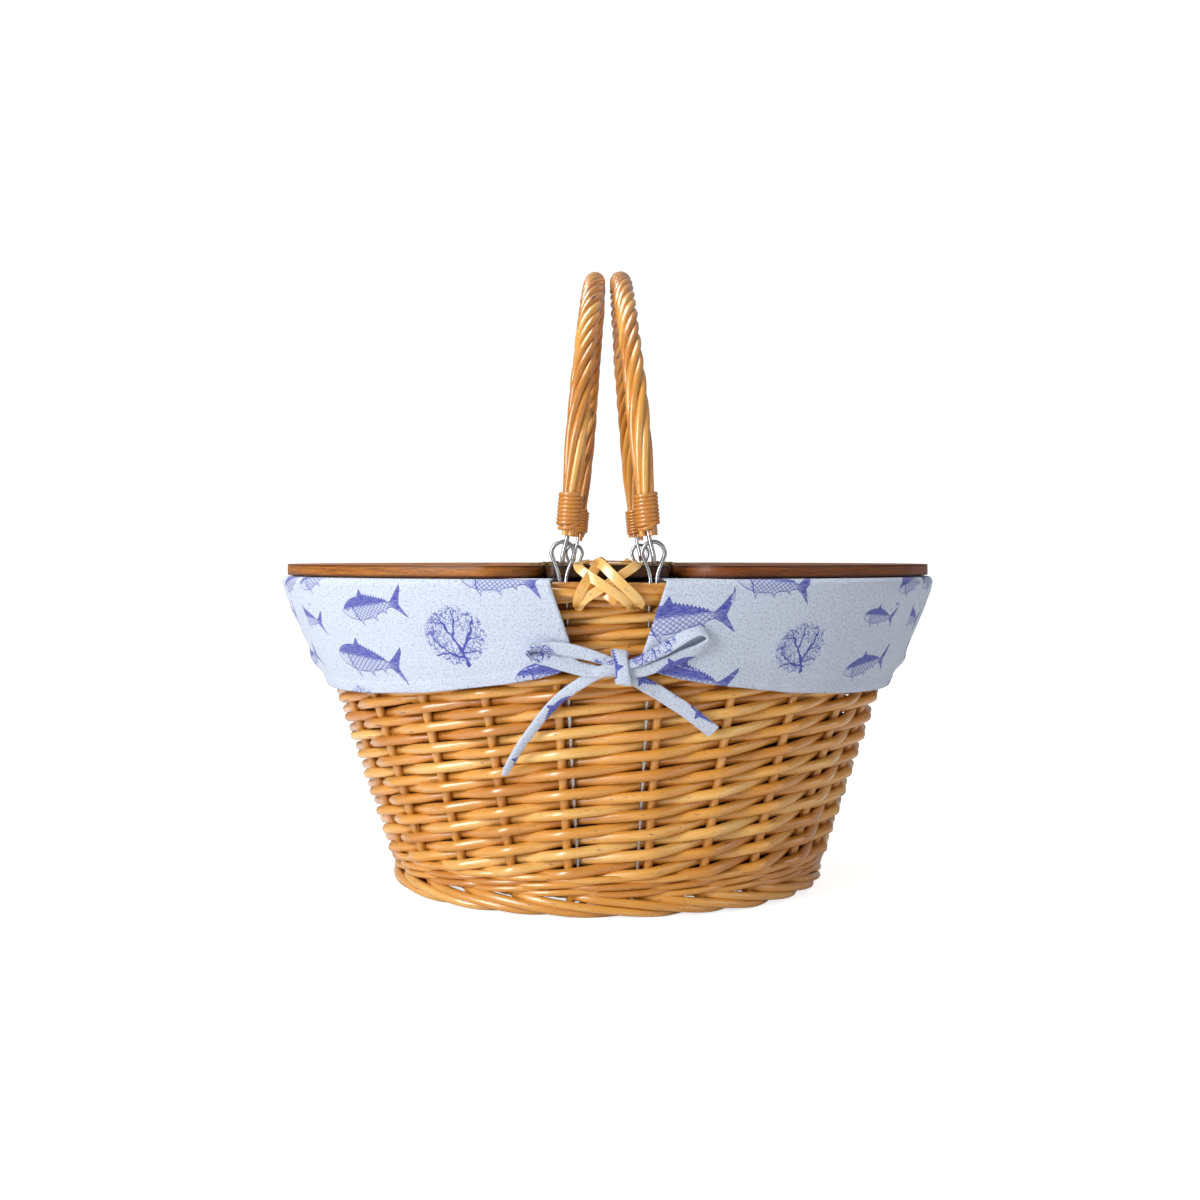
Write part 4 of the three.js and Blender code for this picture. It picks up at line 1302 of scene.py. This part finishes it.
def lashing_strips(side_y, seed):
    """Flat cane wound crosswise over the bar's end and behind the rim, in millimetres."""
    chance = random.Random(seed)
    front, bar_front = 151.5, 136.6
    over = LID_TOP + 1.1
    # Each strip: where it starts and ends on the front, as x and height, and how far out it lies.
    crossings = (
        ((-17.0, 177.0), (-6.5, 192.6), 0.0), ((-12.0, 176.5), (13.2, 193.0), 0.0),
        ((-14.2, 191.6), (9.2, 175.6), 1.1), ((-3.2, 194.2), (15.6, 175.8), 2.0),
    )
    rods = []
    for (x0, z0), (x1, z1), proud in crossings:
        if z0 > z1:
            x0, z0, x1, z1 = x1, z1, x0, z0
        lean_x = x1 - x0
        rows = [
            (x0 - 0.25 * lean_x, 136.0, 173.6), (x0 - 0.12 * lean_x, 145.0, 172.6),
            (x0, front - 1.2 + proud * 0.5, z0), ((x0 + x1) / 2, front + 0.6 + proud, (z0 + z1) / 2),
            (x1, front - 4.2 + proud * 0.4, z1), (x1 + 0.12 * lean_x, bar_front + 4.2, over + 0.2),
            (x1 + 0.3 * lean_x, bar_front - 4.5, over - 0.35),
            (x1 + 0.4 * lean_x, bar_front - 9.0, over - 0.5),
        ]
        rows = [(max(-15.5, min(15.5, x)), y, z) for x, y, z in rows]
        line = smooth_path([(x, side_y * y, z) for x, y, z in rows], 7)
        facing = Vector((0, side_y, 0))
        across = []
        for i, at in enumerate(line):
            along = line[min(i + 1, len(line) - 1)] - line[max(i - 1, 0)]
            share = ease((abs(at.y) - bar_front + 5) / 10)
            out = facing * share + Vector((0, 0, 1 - share if at.z > 185 else share - 1))
            across.append(along.cross(out).normalized())
        width = 5.1 * chance.uniform(0.95, 1.05)
        rods.append(Band(line, across, width, 0.7, 0.45 + 0.5 * chance.random(), 0.25))
    for k in range(3):
        y = bar_front - 10.5 + 4.0 * k
        line = [(x, side_y * y, over - 0.15 + 0.2 * math.cos(x / 6 + k)) for x in range(-15, 16, 2)]
        tone = 0.3 + 0.4 * chance.random()
        rods.append(Band(line, [Vector((0, side_y, 0))] * len(line), 3.6, 0.8, tone, 0.45))
    tuck = [(-1.5, side_y * 150.4, 178.6), (1.0, side_y * 151.6, 176.6), (4.0, side_y * 152.2, 174.6)]
    tuck = smooth_path(tuck, 5)
    rods.append(Band(tuck, [Vector((0.5, 0, 1))] * len(tuck), 3.4, 0.8, 0.2, 0.45))
    return rods


class BASKET_OT_lashings(bpy.types.Operator):
    """Lash the bar to the rim with flat cane"""

    bl_idname = "basket.lashings"
    bl_label = "Lashings"

    def execute(self, context):
        cane = willow_finish("split_cane", 0.28)
        for end, side_y in ENDS:
            piece = rod_piece(f"cane_lashing_{end}", lashing_strips(side_y, 70 + side_y), 3, 40)
            finish_piece(piece, BASKET, cane, [f"lashing_{end}"])
        return {"FINISHED"}


# --- Liner ---------------------------------------------------------------------------------

SKIRT_OUTSIDE = ((118.0, 9.3), (131.0, 10.9), (142.0, 13.3), (166.0, 15.3), (178.0, 15.6), (183.0, 15.0))
HEM = ((0, 141.0), (9, 140.6), (18, 137.6), (30, 134.4), (50, 131.0), (100, 125.0), (150, 122.2),
       (200, 121.5), (260, 121.5))
WINDOW = ((138.0, 9.0), (146.0, 17.0), (166.0, 22.5), (187.0, 28.0), (200.0, 28.5))
SKIRT_TOP = 186.5


def arc_table(z, offset):
    """Angles from the front middle anticlockwise, and the distance round the cloth to each."""
    angles = np.linspace(-math.pi / 2, 1.5 * math.pi, 2881)
    points = np.array([wall_point(a, z, offset)[:] for a in angles])
    steps = np.linalg.norm(np.diff(points, axis=0), axis=1)
    return angles, np.concatenate([[0.0], np.cumsum(steps)])


def cloth_piece(work, name, place, thickness, hem=()):
    """Finishes a cloth sheet: its flat place as a UV map and its thickness."""
    layer = work.loops.layers.uv.new("cloth")
    for face in work.faces:
        face.smooth = True
        spots = [place[loop.vert.index] for loop in face.loops]
        wrap = max(s[0] for s in spots) - min(s[0] for s in spots) > 300
        for loop, spot in zip(face.loops, spots):
            loop[layer].uv = (spot[0] + (place["round"] if wrap and spot[0] < 0 else 0), spot[1])
    mesh = bpy.data.meshes.new(name)
    work.to_mesh(mesh)
    work.free()
    if hem:
        mesh.attributes.new("hem", "FLOAT", "POINT").data.foreach_set("value", hem)
    piece = new_object(name, mesh)
    solid = piece.modifiers.new("Thickness", "SOLIDIFY")
    solid.thickness = thickness
    solid.offset = 0
    finish_piece(piece, BASKET, linen_finish(), [name.replace("cloth_", "")])
    return piece


def skirt_shape(side_x):
    """Rows over the rim and down outside, from the window at the front to the one at the back."""
    columns, rows = 260, 84
    angles, arcs = arc_table(140.0, 13.0)
    round_length = float(arcs[-1])
    work = bmesh.new()
    bmesh.ops.create_grid(work, x_segments=columns, y_segments=rows, size=0.5)
    place = {"round": round_length}
    seeds = 3.7 if side_x > 0 else 41.2
    above_hem = [0.0] * len(work.verts)
    for vert in work.verts:
        a, d = vert.co.x + 0.5, vert.co.y + 0.5
        s_free = a * round_length / 2
        from_window = min(s_free, round_length / 2 - s_free)
        hem = blend_curve(HEM, from_window)
        # Height by share: up from the rim's inside, over it, then down to the hem.
        if d < 0.06:
            z, offset = 181.0 + (SKIRT_TOP - 1.2 - 181.0) * d / 0.06, -6.7
        elif d < 0.22:
            over = (d - 0.06) / 0.16
            z = SKIRT_TOP - 1.2 * (abs(2 * over - 1) ** 6)
            offset = -6.7 + 20.5 * over
            z -= 0.35 * (0.5 + 0.5 * math.cos(over * 9.0)) * (1 if 0.1 < over < 0.9 else 0)
        else:
            down = (d - 0.22) / 0.78
            z = 184.6 + (hem - 184.6) * down
            offset = blend_curve(SKIRT_OUTSIDE, z)
            if z > 183:
                offset = 13.8 + (15.0 - 13.8) * min(1.0, (185.3 - z) / 2.0)
        edge = blend_curve(WINDOW, z)
        spread = round_length / 2 - 2 * edge
        s = edge + a * spread
        # Ripples: long ones that grow towards the hem, creases that run to the knots, and two puckers.
        fall = ease((186.0 - z) / 60.0)
        long_wave = noise.noise(Vector((s / 30.0, z / 90.0, seeds)))
        short_wave = noise.noise(Vector((s / 11.0, z / 50.0, seeds + 9)))
        near_knot = min(s, round_length / 2 - s)
        run = math.atan2(z - 141.0, near_knot + 4.0)
        above_tie = ease((z - 132) / 12 if z < 144 else 1)
        crease = math.cos(run * 17.0 + seeds) * ease(1 - near_knot / 75.0) * above_tie
        offset += fall * (1.7 * long_wave + 0.5 * short_wave) + 0.55 * crease * ease((186 - z) / 14)
        quarter = abs(s - round_length / 4)
        pucker = math.exp(-((quarter - 34.0) / 7.0) ** 2 - ((z - 136.5) / 5.0) ** 2)
        offset += 2.6 * pucker
        z_bump = 0.5 * math.sin(s / 2.2) * pucker
        # The hem is folded up double, so it stands a little proud as far as its stitches.
        from_hem = z - hem if d > 0.22 else 60.0
        past_stitches = from_hem - HEM_FOLD
        offset += 0.55 * (1 - ease((past_stitches + 0.8) / 1.6))
        offset -= 0.25 * math.exp(-(past_stitches / 0.9) ** 2)
        above_hem[vert.index] = from_hem + 0.01
        if offset > 5:
            offset = min(offset, 17.4)
        angle = float(np.interp(s, arcs, angles))
        if side_x < 0:
            angle = -math.pi - angle
        at = wall_point(angle, z + z_bump, offset)
        wide = 197.0
        if abs(at.x) > wide:
            at.x = math.copysign(wide, at.x)
        vert.co = at * MM
        up = z if d > 0.22 else 185.0 + (0.22 - d) / 0.22 * 27.0
        place[vert.index] = (side_x * s, up)
    bmesh.ops.recalc_face_normals(work, faces=work.faces[:])
    return work, place, above_hem


def bag_shape():
    """A gathered bag: down the inside of the wall and across the floor."""
    columns, rows, floor_rows = 220, 46, 16
    angles, arcs = arc_table(110.0, -8.5)
    round_length = float(arcs[-1])
    work = bmesh.new()
    bmesh.ops.create_circle(work, cap_ends=False, radius=1.0, segments=columns)
    ring = work.verts[:]
    order = {v: i for i, v in enumerate(ring)}
    place = {"round": round_length}
    work.verts.ensure_lookup_table()
    rings = [ring]
    edges = work.edges[:]
    for _ in range(rows + floor_rows):
        grown = bmesh.ops.extrude_edge_only(work, edges=edges)["geom"]
        edges = [e for e in grown if isinstance(e, bmesh.types.BMEdge)]
        fresh = [v for v in grown if isinstance(v, bmesh.types.BMVert)]
        above = set(rings[-1])
        for v in fresh:
            order[v] = next(order[e.other_vert(v)] for e in v.link_edges if e.other_vert(v) in above)
        rings.append(sorted(fresh, key=order.get))
    work.verts.index_update()
    for k, ring in enumerate(rings):
        for vert in ring:
            s = round_length * order[vert] / columns
            down = min(k / rows, 1.0)
            z = 185.2 - (185.2 - 19.0) * down
            pleats = noise.noise(Vector((math.cos(s / round_length * 2 * math.pi) * 9,
                                         math.sin(s / round_length * 2 * math.pi) * 9, z / 140.0)))
            fine = noise.noise(Vector((math.cos(s / round_length * 2 * math.pi) * 24,
                                       math.sin(s / round_length * 2 * math.pi) * 24, z / 60.0)))
            depth = ease((184 - z) / 30) * (2.3 * pleats + 0.8 * fine - 1.4)
            rounding = 7.0 * ease((30 - z) / 13) if z < 30 else 0.0
            angle = float(np.interp(s, arcs, angles))
            slack = 6.0 * ease((182 - z) / 40)
            at = wall_point(angle, z, -7.9 - slack + min(depth, 0.2) - rounding)
            up = z
            if k > rows:
                inward = (k - rows) / (floor_rows + 0.6)
                at.x, at.y = at.x * (1 - inward), at.y * (1 - inward)
                at.z = 17.9 + 1.1 * (1 - inward) ** 6 + 0.5 * noise.noise(Vector((at.x / 26, at.y / 26, 7)))
                at.z = max(at.z, 17.8)
                up = z - inward * 90
            vert.co = at * MM
            half = round_length / 2
            place[vert.index] = (s if s <= half else s - round_length, up)
    bmesh.ops.holes_fill(work, edges=edges, sides=0)
    bmesh.ops.recalc_face_normals(work, faces=work.faces[:])
    return work, place


class BASKET_OT_liner(bpy.types.Operator):
    """Sew the liner: the bag inside and the two skirts over the rim"""

    bl_idname = "basket.liner"
    bl_label = "Cloth liner"

    def execute(self, context):
        thickness = sizes().cloth_thickness
        work, place = bag_shape()
        bag = cloth_piece(work, "cloth_liner_bag", place, thickness)
        # The bag's side towards the weave takes the nearly black cloth: painted shade seen through the gaps
        # between the rods.
        bag.data.materials.clear()
        for finish in (painted_shade_reverse_side(), linen_finish()):
            bag.data.materials.append(finish)
        bag.modifiers["Thickness"].material_offset = 1
        for side, side_x in SIDES:
            work, place, hem = skirt_shape(side_x)
            cloth_piece(work, f"cloth_liner_skirt_{side}", place, thickness, hem)
        return {"FINISHED"}


# --- Bows ----------------------------------------------------------------------------------

# Middle lines of the bow's parts, as distances to the right of the middle and up, in millimetres.
BOW_LEFT_TAIL = (
    (4.0, 140.6), (-4, 138.6), (-14, 132.6), (-24.8, 124.6), (-33, 116), (-40.2, 106.6), (-46, 98.5),
    (-50.5, 91), (-55.6, 81.5),
)
BOW_RIGHT_TAIL = (
    (8.0, 139), (12.2, 136.4), (19, 131.5), (26.6, 127), (34, 122), (42, 116.6), (56.0, 105.2),
)
BOW_LEFT_LOOP = (
    (6.0, 142.4), (-0.6, 144.6), (-9, 147.4), (-17, 149.4), (-25, 151), (-32.5, 151.4), (-38.4, 150.6),
    (-41.2, 148.2), (-38.0, 146.4), (-31, 145.0), (-24.8, 143.2), (-9.4, 139.2), (4, 138.4),
)
BOW_RIGHT_LOOP = (
    (8.5, 142.2), (14.8, 143.8), (22, 147), (29.2, 150.8), (36, 155), (42, 158.4), (47.5, 160),
    (51.2, 158.2), (51.6, 154.6), (47.2, 150.6), (39, 147), (31.8, 143.8), (16.4, 138.6), (9, 139.2),
)

# Which part of the print a tie is cut from, in millimetres.
TIE_PRINT_SHIFT = (-208, 121, 0)


def tie_standoff(x, z):
    """Distance of the cloth's outside from the middle plane at the front, in millimetres."""
    offset = blend_curve(SKIRT_OUTSIDE, z)
    if z < 134:
        offset = max(offset - (134 - z) * 0.25, 8.6)
    depth, length = half_depth(z) + offset, half_length(z) + offset
    return depth * math.sqrt(max(1 - (x / length) ** 2, 0.05))


def tie(corners, side_y, lift, width, thick, roll, per_span=6):
    """A folded tie through front places (x, height). Lift and roll are lists over its length."""
    flat = smooth_path([(x, 0, z) for x, z in corners], per_span)
    points, across = [], []
    for i, at in enumerate(flat):
        share = i / (len(flat) - 1)
        y = tie_standoff(at.x, at.z) + blend_curve(lift, share)
        points.append(Vector((-side_y * at.x, side_y * y, at.z)))
    for i in range(len(points)):
        share = i / (len(points) - 1)
        along = (points[min(i + 1, len(points) - 1)] - points[max(i - 1, 0)]).normalized()
        outwards = Vector((0, side_y, 0))
        upright = along.cross(outwards).normalized()
        turn = math.radians(blend_curve(roll, share))
        across.append(math.cos(turn) * upright + math.sin(turn) * outwards)
    widths = [blend_curve(width, i / (len(points) - 1)) for i in range(len(points))]
    thicks = [blend_curve(thick, i / (len(points) - 1)) for i in range(len(points))]
    return Band(points, across, widths, thicks, 0.5, 0.55)


def bow_ties(side_y):
    """Two tails, two loops and the band of the knot."""
    wide = sizes().tape_width / MM
    ties = [
        tie(BOW_LEFT_LOOP, side_y, ((0, 1.6), (0.45, 3.6), (0.6, 3.8), (1, 2.2)),
            ((0, wide * 0.6), (0.25, wide), (0.5, wide * 0.9), (0.62, wide), (0.9, wide), (1, wide * 0.6)),
            ((0, 2.2), (0.2, 1.6), (0.5, 1.9), (1, 1.9)),
            ((0, 10), (0.35, 25), (0.57, 78), (0.72, 30), (1, 8))),
        tie(BOW_RIGHT_LOOP, side_y, ((0, 2.4), (0.4, 3.8), (0.55, 4.4), (0.75, 3.4), (1, 2.0)),
            ((0, wide * 0.6), (0.25, wide * 0.95), (0.55, wide * 0.85), (0.8, wide), (1, wide * 0.7)),
            ((0, 2.2), (0.2, 1.7), (0.5, 2.1), (1, 1.9)),
            ((0, 12), (0.35, 30), (0.57, 76), (0.74, 28), (1, 10))),
        tie(BOW_LEFT_TAIL, side_y, ((0, 2.4), (0.12, 3.2), (0.5, 2.6), (1, 2.2)),
            ((0, 6.0), (0.2, 6.6), (0.6, 5.4), (0.96, 4.8), (1, 3.6)), ((0, 2.2), (0.4, 2.6), (1, 2.4)),
            ((0, 5), (0.5, 22), (1, 35))),
        tie(BOW_RIGHT_TAIL, side_y, ((0, 1.6), (0.2, 2.2), (0.7, 2.4), (1, 3.0)),
            ((0, 6.0), (0.2, wide), (1, wide * 1.05)), ((0, 2.0), (0.3, 1.3), (1, 1.15)),
            ((0, 4), (0.6, -8), (1, -16))),
    ]
    knot_x, knot_z = 7.1, 140.9
    line, across = [], []
    for i in range(25):
        angle = -0.8 * math.pi + 1.6 * math.pi * i / 24
        y = tie_standoff(knot_x, knot_z) + 1.3 + 3.9 * math.cos(angle)
        line.append((-side_y * (knot_x - 1.2 * math.sin(angle)), side_y * y, knot_z + 8.8 * math.sin(angle)))
        across.append(Vector((1, 0, 0.14 * side_y)))
    bulge = [8.2 + 1.3 * math.cos(2 * math.pi * i / 24) for i in range(25)]
    ties.append(Band(line, across, bulge, 1.5, 0.5, 0.6))
    return ties


class BASKET_OT_bows(bpy.types.Operator):
    """Tie the skirts together in a bow at the front and at the back"""

    bl_idname = "basket.bows"
    bl_label = "Bows"

    def execute(self, context):
        for end, side_y in ENDS:
            ties = bow_ties(side_y)
            piece = rod_piece(f"cloth_bow_{end}", ties, 4, 60)
            linen = linen_finish("printed_tie", True, TIE_PRINT_SHIFT)
            finish_piece(piece, BASKET, linen, [f"bow_{end}"])
        return {"FINISHED"}


# --- Stage ---------------------------------------------------------------------------------


# Strength of the white surroundings as they light the basket, and as the camera sees them.
SKY_LIGHT, BACKDROP_LIGHT = 0.27, 1.05
# How much the floor glows for the camera alone, so that it meets the backdrop without an edge.
FLOOR_GLOW = 0.80


def soft_light(name, at, aim, size, power, colour=(1, 1, 1)):
    """A square or oblong soft light aimed at a point."""
    lamp = bpy.data.lights.new(name, "AREA")
    lamp.shape, lamp.size, lamp.size_y = "RECTANGLE", size[0], size[1]
    lamp.energy, lamp.color = power, colour
    holder = bpy.data.objects.new(name, lamp)
    holder.location = at
    holder.rotation_euler = (Vector(aim) - Vector(at)).to_track_quat("-Z", "Y").to_euler()
    bpy.context.scene.collection.objects.link(holder)


class BASKET_OT_stage(bpy.types.Operator):
    """Set the pale floor, the soft lights and the camera"""

    bl_idname = "basket.stage"
    bl_label = "Stage"

    def execute(self, context):
        scene = bpy.context.scene
        work = bmesh.new()
        bmesh.ops.create_grid(work, x_segments=24, y_segments=24, size=6.0)
        mesh = bpy.data.meshes.new("pale_floor")
        work.to_mesh(mesh)
        work.free()
        floor = new_object("pale_floor", mesh)
        material, w, shader = new_finish("pale_paper")
        mottle = w.noise(w.add("TexCoord").outputs["Object"], 3.0, 3.0)
        tint = w.mixed(mottle, (0.80, 0.80, 0.80, 1), (0.84, 0.84, 0.84, 1))
        glow = w.maths("MULTIPLY", w.add("LightPath").outputs["Is Camera Ray"], FLOOR_GLOW)
        set_shader(w, shader, {"Base Color": tint, "Roughness": 0.9, "Specular IOR Level": 0.2,
                                "Emission Color": (1, 1, 1, 1), "Emission Strength": glow})
        mesh.materials.append(material)

        world = bpy.data.worlds.new("studio")
        world.use_nodes = True
        sky = Wiring(world.node_tree)
        seen = sky.add("LightPath").outputs["Is Camera Ray"]
        backdrop = world.node_tree.nodes["Background"]
        strength = sky.maths("MULTIPLY_ADD", seen, BACKDROP_LIGHT - SKY_LIGHT, SKY_LIGHT)
        world.node_tree.links.new(strength, backdrop.inputs["Strength"])
        backdrop.inputs["Color"].default_value = (1.0, 1.0, 1.0, 1)
        scene.world = world
        soft_light("key", (-1.42, -1.42, 0.85), (0, 0, 0.12), (0.7, 1.5), 37)
        soft_light("fill", (1.9, -1.0, 0.8), (0, 0, 0.12), (1.0, 1.0), 5)
        soft_light("above", (-0.4, 0.3, 2.0), (0, 0, 0.1), (1.0, 1.0), 22)

        data = bpy.data.cameras.new("view")
        data.sensor_width, data.lens = 36.0, 43.44
        data.shift_x, data.shift_y = -0.0039, -0.0383
        data.dof.use_dof = False
        data.clip_start, data.clip_end = 0.01, 50
        camera = bpy.data.objects.new("view", data)
        camera.location = (-0.0018, -0.895, 0.1997)
        camera.rotation_euler = (math.pi / 2, 0, 0)
        scene.collection.objects.link(camera)
        scene.camera = camera
        scene.view_settings.view_transform = "Standard"
        return {"FINISHED"}


# --- Add-on --------------------------------------------------------------------------------

PIECE_OPERATORS = (
    BASKET_OT_stage, BASKET_OT_wall, BASKET_OT_borders, BASKET_OT_stakes, BASKET_OT_wires, BASKET_OT_handles,
    BASKET_OT_lids, BASKET_OT_hinges, BASKET_OT_lashings, BASKET_OT_liner, BASKET_OT_bows,
)


class BASKET_PT_panel(bpy.types.Panel):
    """Sizes, colours and pieces of the basket"""

    bl_idname = "BASKET_PT_panel"
    bl_label = "Willow basket"
    bl_space_type = "VIEW_3D"
    bl_region_type = "UI"
    bl_category = "Basket"

    def draw(self, context):
        for group in (context.scene.basket_sizes, context.scene.basket_colours):
            box = self.layout.box()
            for name in group.__annotations__:
                box.prop(group, name)
        for operator in PIECE_OPERATORS:
            self.layout.operator(operator.bl_idname)


CLASSES = (BasketSizes, BasketColours, *PIECE_OPERATORS, BASKET_PT_panel)


def register():
    """Adds the classes and their settings to Blender."""
    for cls in CLASSES:
        bpy.utils.register_class(cls)
    bpy.types.Scene.basket_sizes = PointerProperty(type=BasketSizes)
    bpy.types.Scene.basket_colours = PointerProperty(type=BasketColours)


def unregister():
    """Takes the classes and their settings out again."""
    del bpy.types.Scene.basket_colours
    del bpy.types.Scene.basket_sizes
    for cls in reversed(CLASSES):
        bpy.utils.unregister_class(cls)


def main():
    """Builds the basket piece by piece."""
    register()
    for operator in PIECE_OPERATORS:
        group, name = operator.bl_idname.split(".")
        getattr(getattr(bpy.ops, group), name)()


if __name__ == "__main__":
    main()
